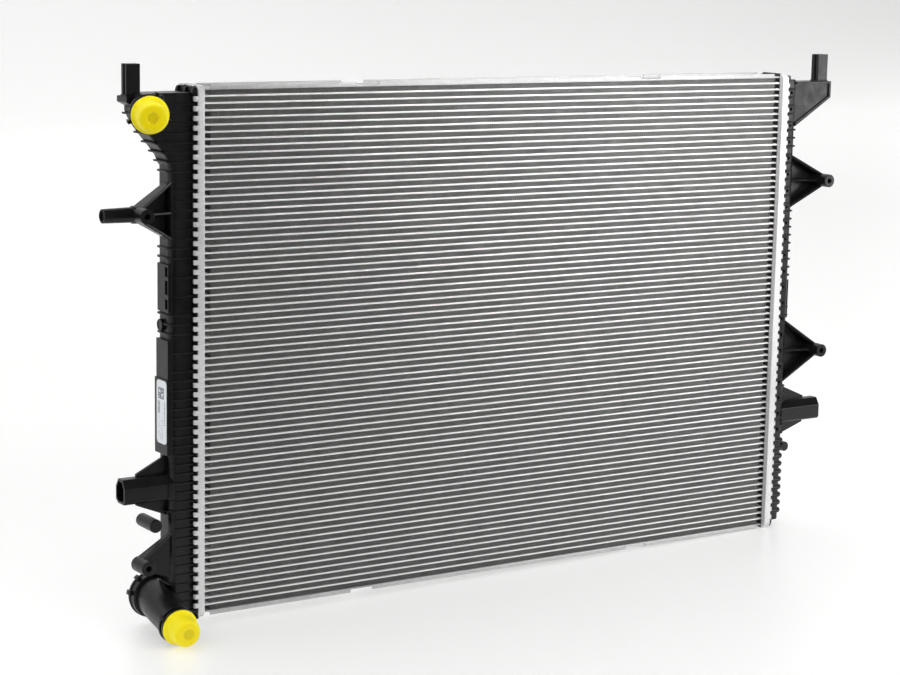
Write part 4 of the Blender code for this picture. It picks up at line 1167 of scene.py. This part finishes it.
def studio():
    bpy.context.scene.view_settings.view_transform = "Standard"
    sky()
    area_light("key_softbox", (-2.4, -1.6, 2.0), (0, 0, 0.2), (1.4, 1.4), 9)
    area_light("right_softbox", (2.0, -1.8, 0.46), (0.3, 0, 0.3), (0.9, 0.8), 17)
    area_light("front_fill", (0.6, -3.2, 1.6), (0, 0, 0.2), (3.4, 2.6), 68, False)
    area_light("upper_right_fill", (-0.3, -1.9, 1.0), (0.14, 0, 0.58), (0.4, 0.4), 2.8, False, 28)
    area_light("overhead_fill", (0, 0.2, 3.2), (0, 0.2, 0), (4.0, 4.0), 30, False)
    area_light("backdrop_light", (2.8, 2.8, 2.8), (3.4, 5.4, 2.0), (5.0, 1.0), 46, False)
    surroundings()


def camera():
    yaw, pitch, roll = (math.radians(turn) for turn in (CAMERA_YAW, CAMERA_PITCH, CAMERA_ROLL))
    forward = Vector((math.sin(yaw) * math.cos(pitch), math.cos(yaw) * math.cos(pitch), -math.sin(pitch)))
    level = Vector((math.cos(yaw), -math.sin(yaw), 0))
    up = level.cross(forward)
    right = level * math.cos(roll) + up * math.sin(roll)
    top = up * math.cos(roll) - level * math.sin(roll)
    lens = bpy.data.cameras.new("camera")
    lens.lens, lens.sensor_width, lens.clip_end = CAMERA_LENS, CAMERA_SENSOR, 50
    made = linked("camera", lens)
    turned = Matrix((right, top, -forward)).transposed().to_4x4()
    made.matrix_world = Matrix.Translation(CAMERA_AT) @ turned
    bpy.context.scene.camera = made


LOOKS = {
    "fin": fin_look(),
    "tube": tube_look(),
    "rim": rim_look("header_aluminium", 0.64, True),
    # Painted shade: the side plates use the headers' aluminium at a lower tone, standing in for the light they
    # miss.
    "plate": rim_look("side_plate_aluminium", 0.44, False),
    "plastic": plastic_look(),
    "rubber": rubber_look(),
    "inlet_cap": cap_look("inlet_cap_yellow", INLET_BRIM, INLET_AXIS),
    "outlet_cap": cap_look("outlet_cap_yellow", OUTLET_BRIM, OUTLET_AXIS),
    "label": label_look(),
    "ink": ink_look(),
}

camera()
studio()
build_core()
side_plate("bottom_side_plate_detail", "bottom_side_plate", 0, PLATE_WEB, -PLATE_FLANGE)
side_plate("top_side_plate_detail", "top_side_plate", CORE_TOP - PLATE_WEB, CORE_TOP, CORE_TOP + PLATE_FLANGE)
header_plate("left_header_plate_detail", "left_header_plate", LEFT)
header_plate("right_header_plate_detail", "right_header_plate", RIGHT)
for gasket in ("left_header_gasket", "right_header_gasket"):
    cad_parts[gasket].data.materials.clear()
    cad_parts[gasket].data.materials.append(LOOKS["rubber"])
left_tank()
right_tank()
mount_socket("left_mount_socket_detail", "left_mount_socket", LEFT, LEFT_CROWN)
mount_socket("right_mount_socket_detail", "right_mount_socket", RIGHT, RIGHT_CROWN)
inlet_port()
outlet_elbow()
port_cap("inlet_cap_detail", "inlet_cap", "inlet_cap_body", INLET_BRIM, INLET_AXIS)
port_cap("outlet_cap_detail", "outlet_cap", "outlet_cap_body", OUTLET_BRIM, OUTLET_AXIS)
part_label()
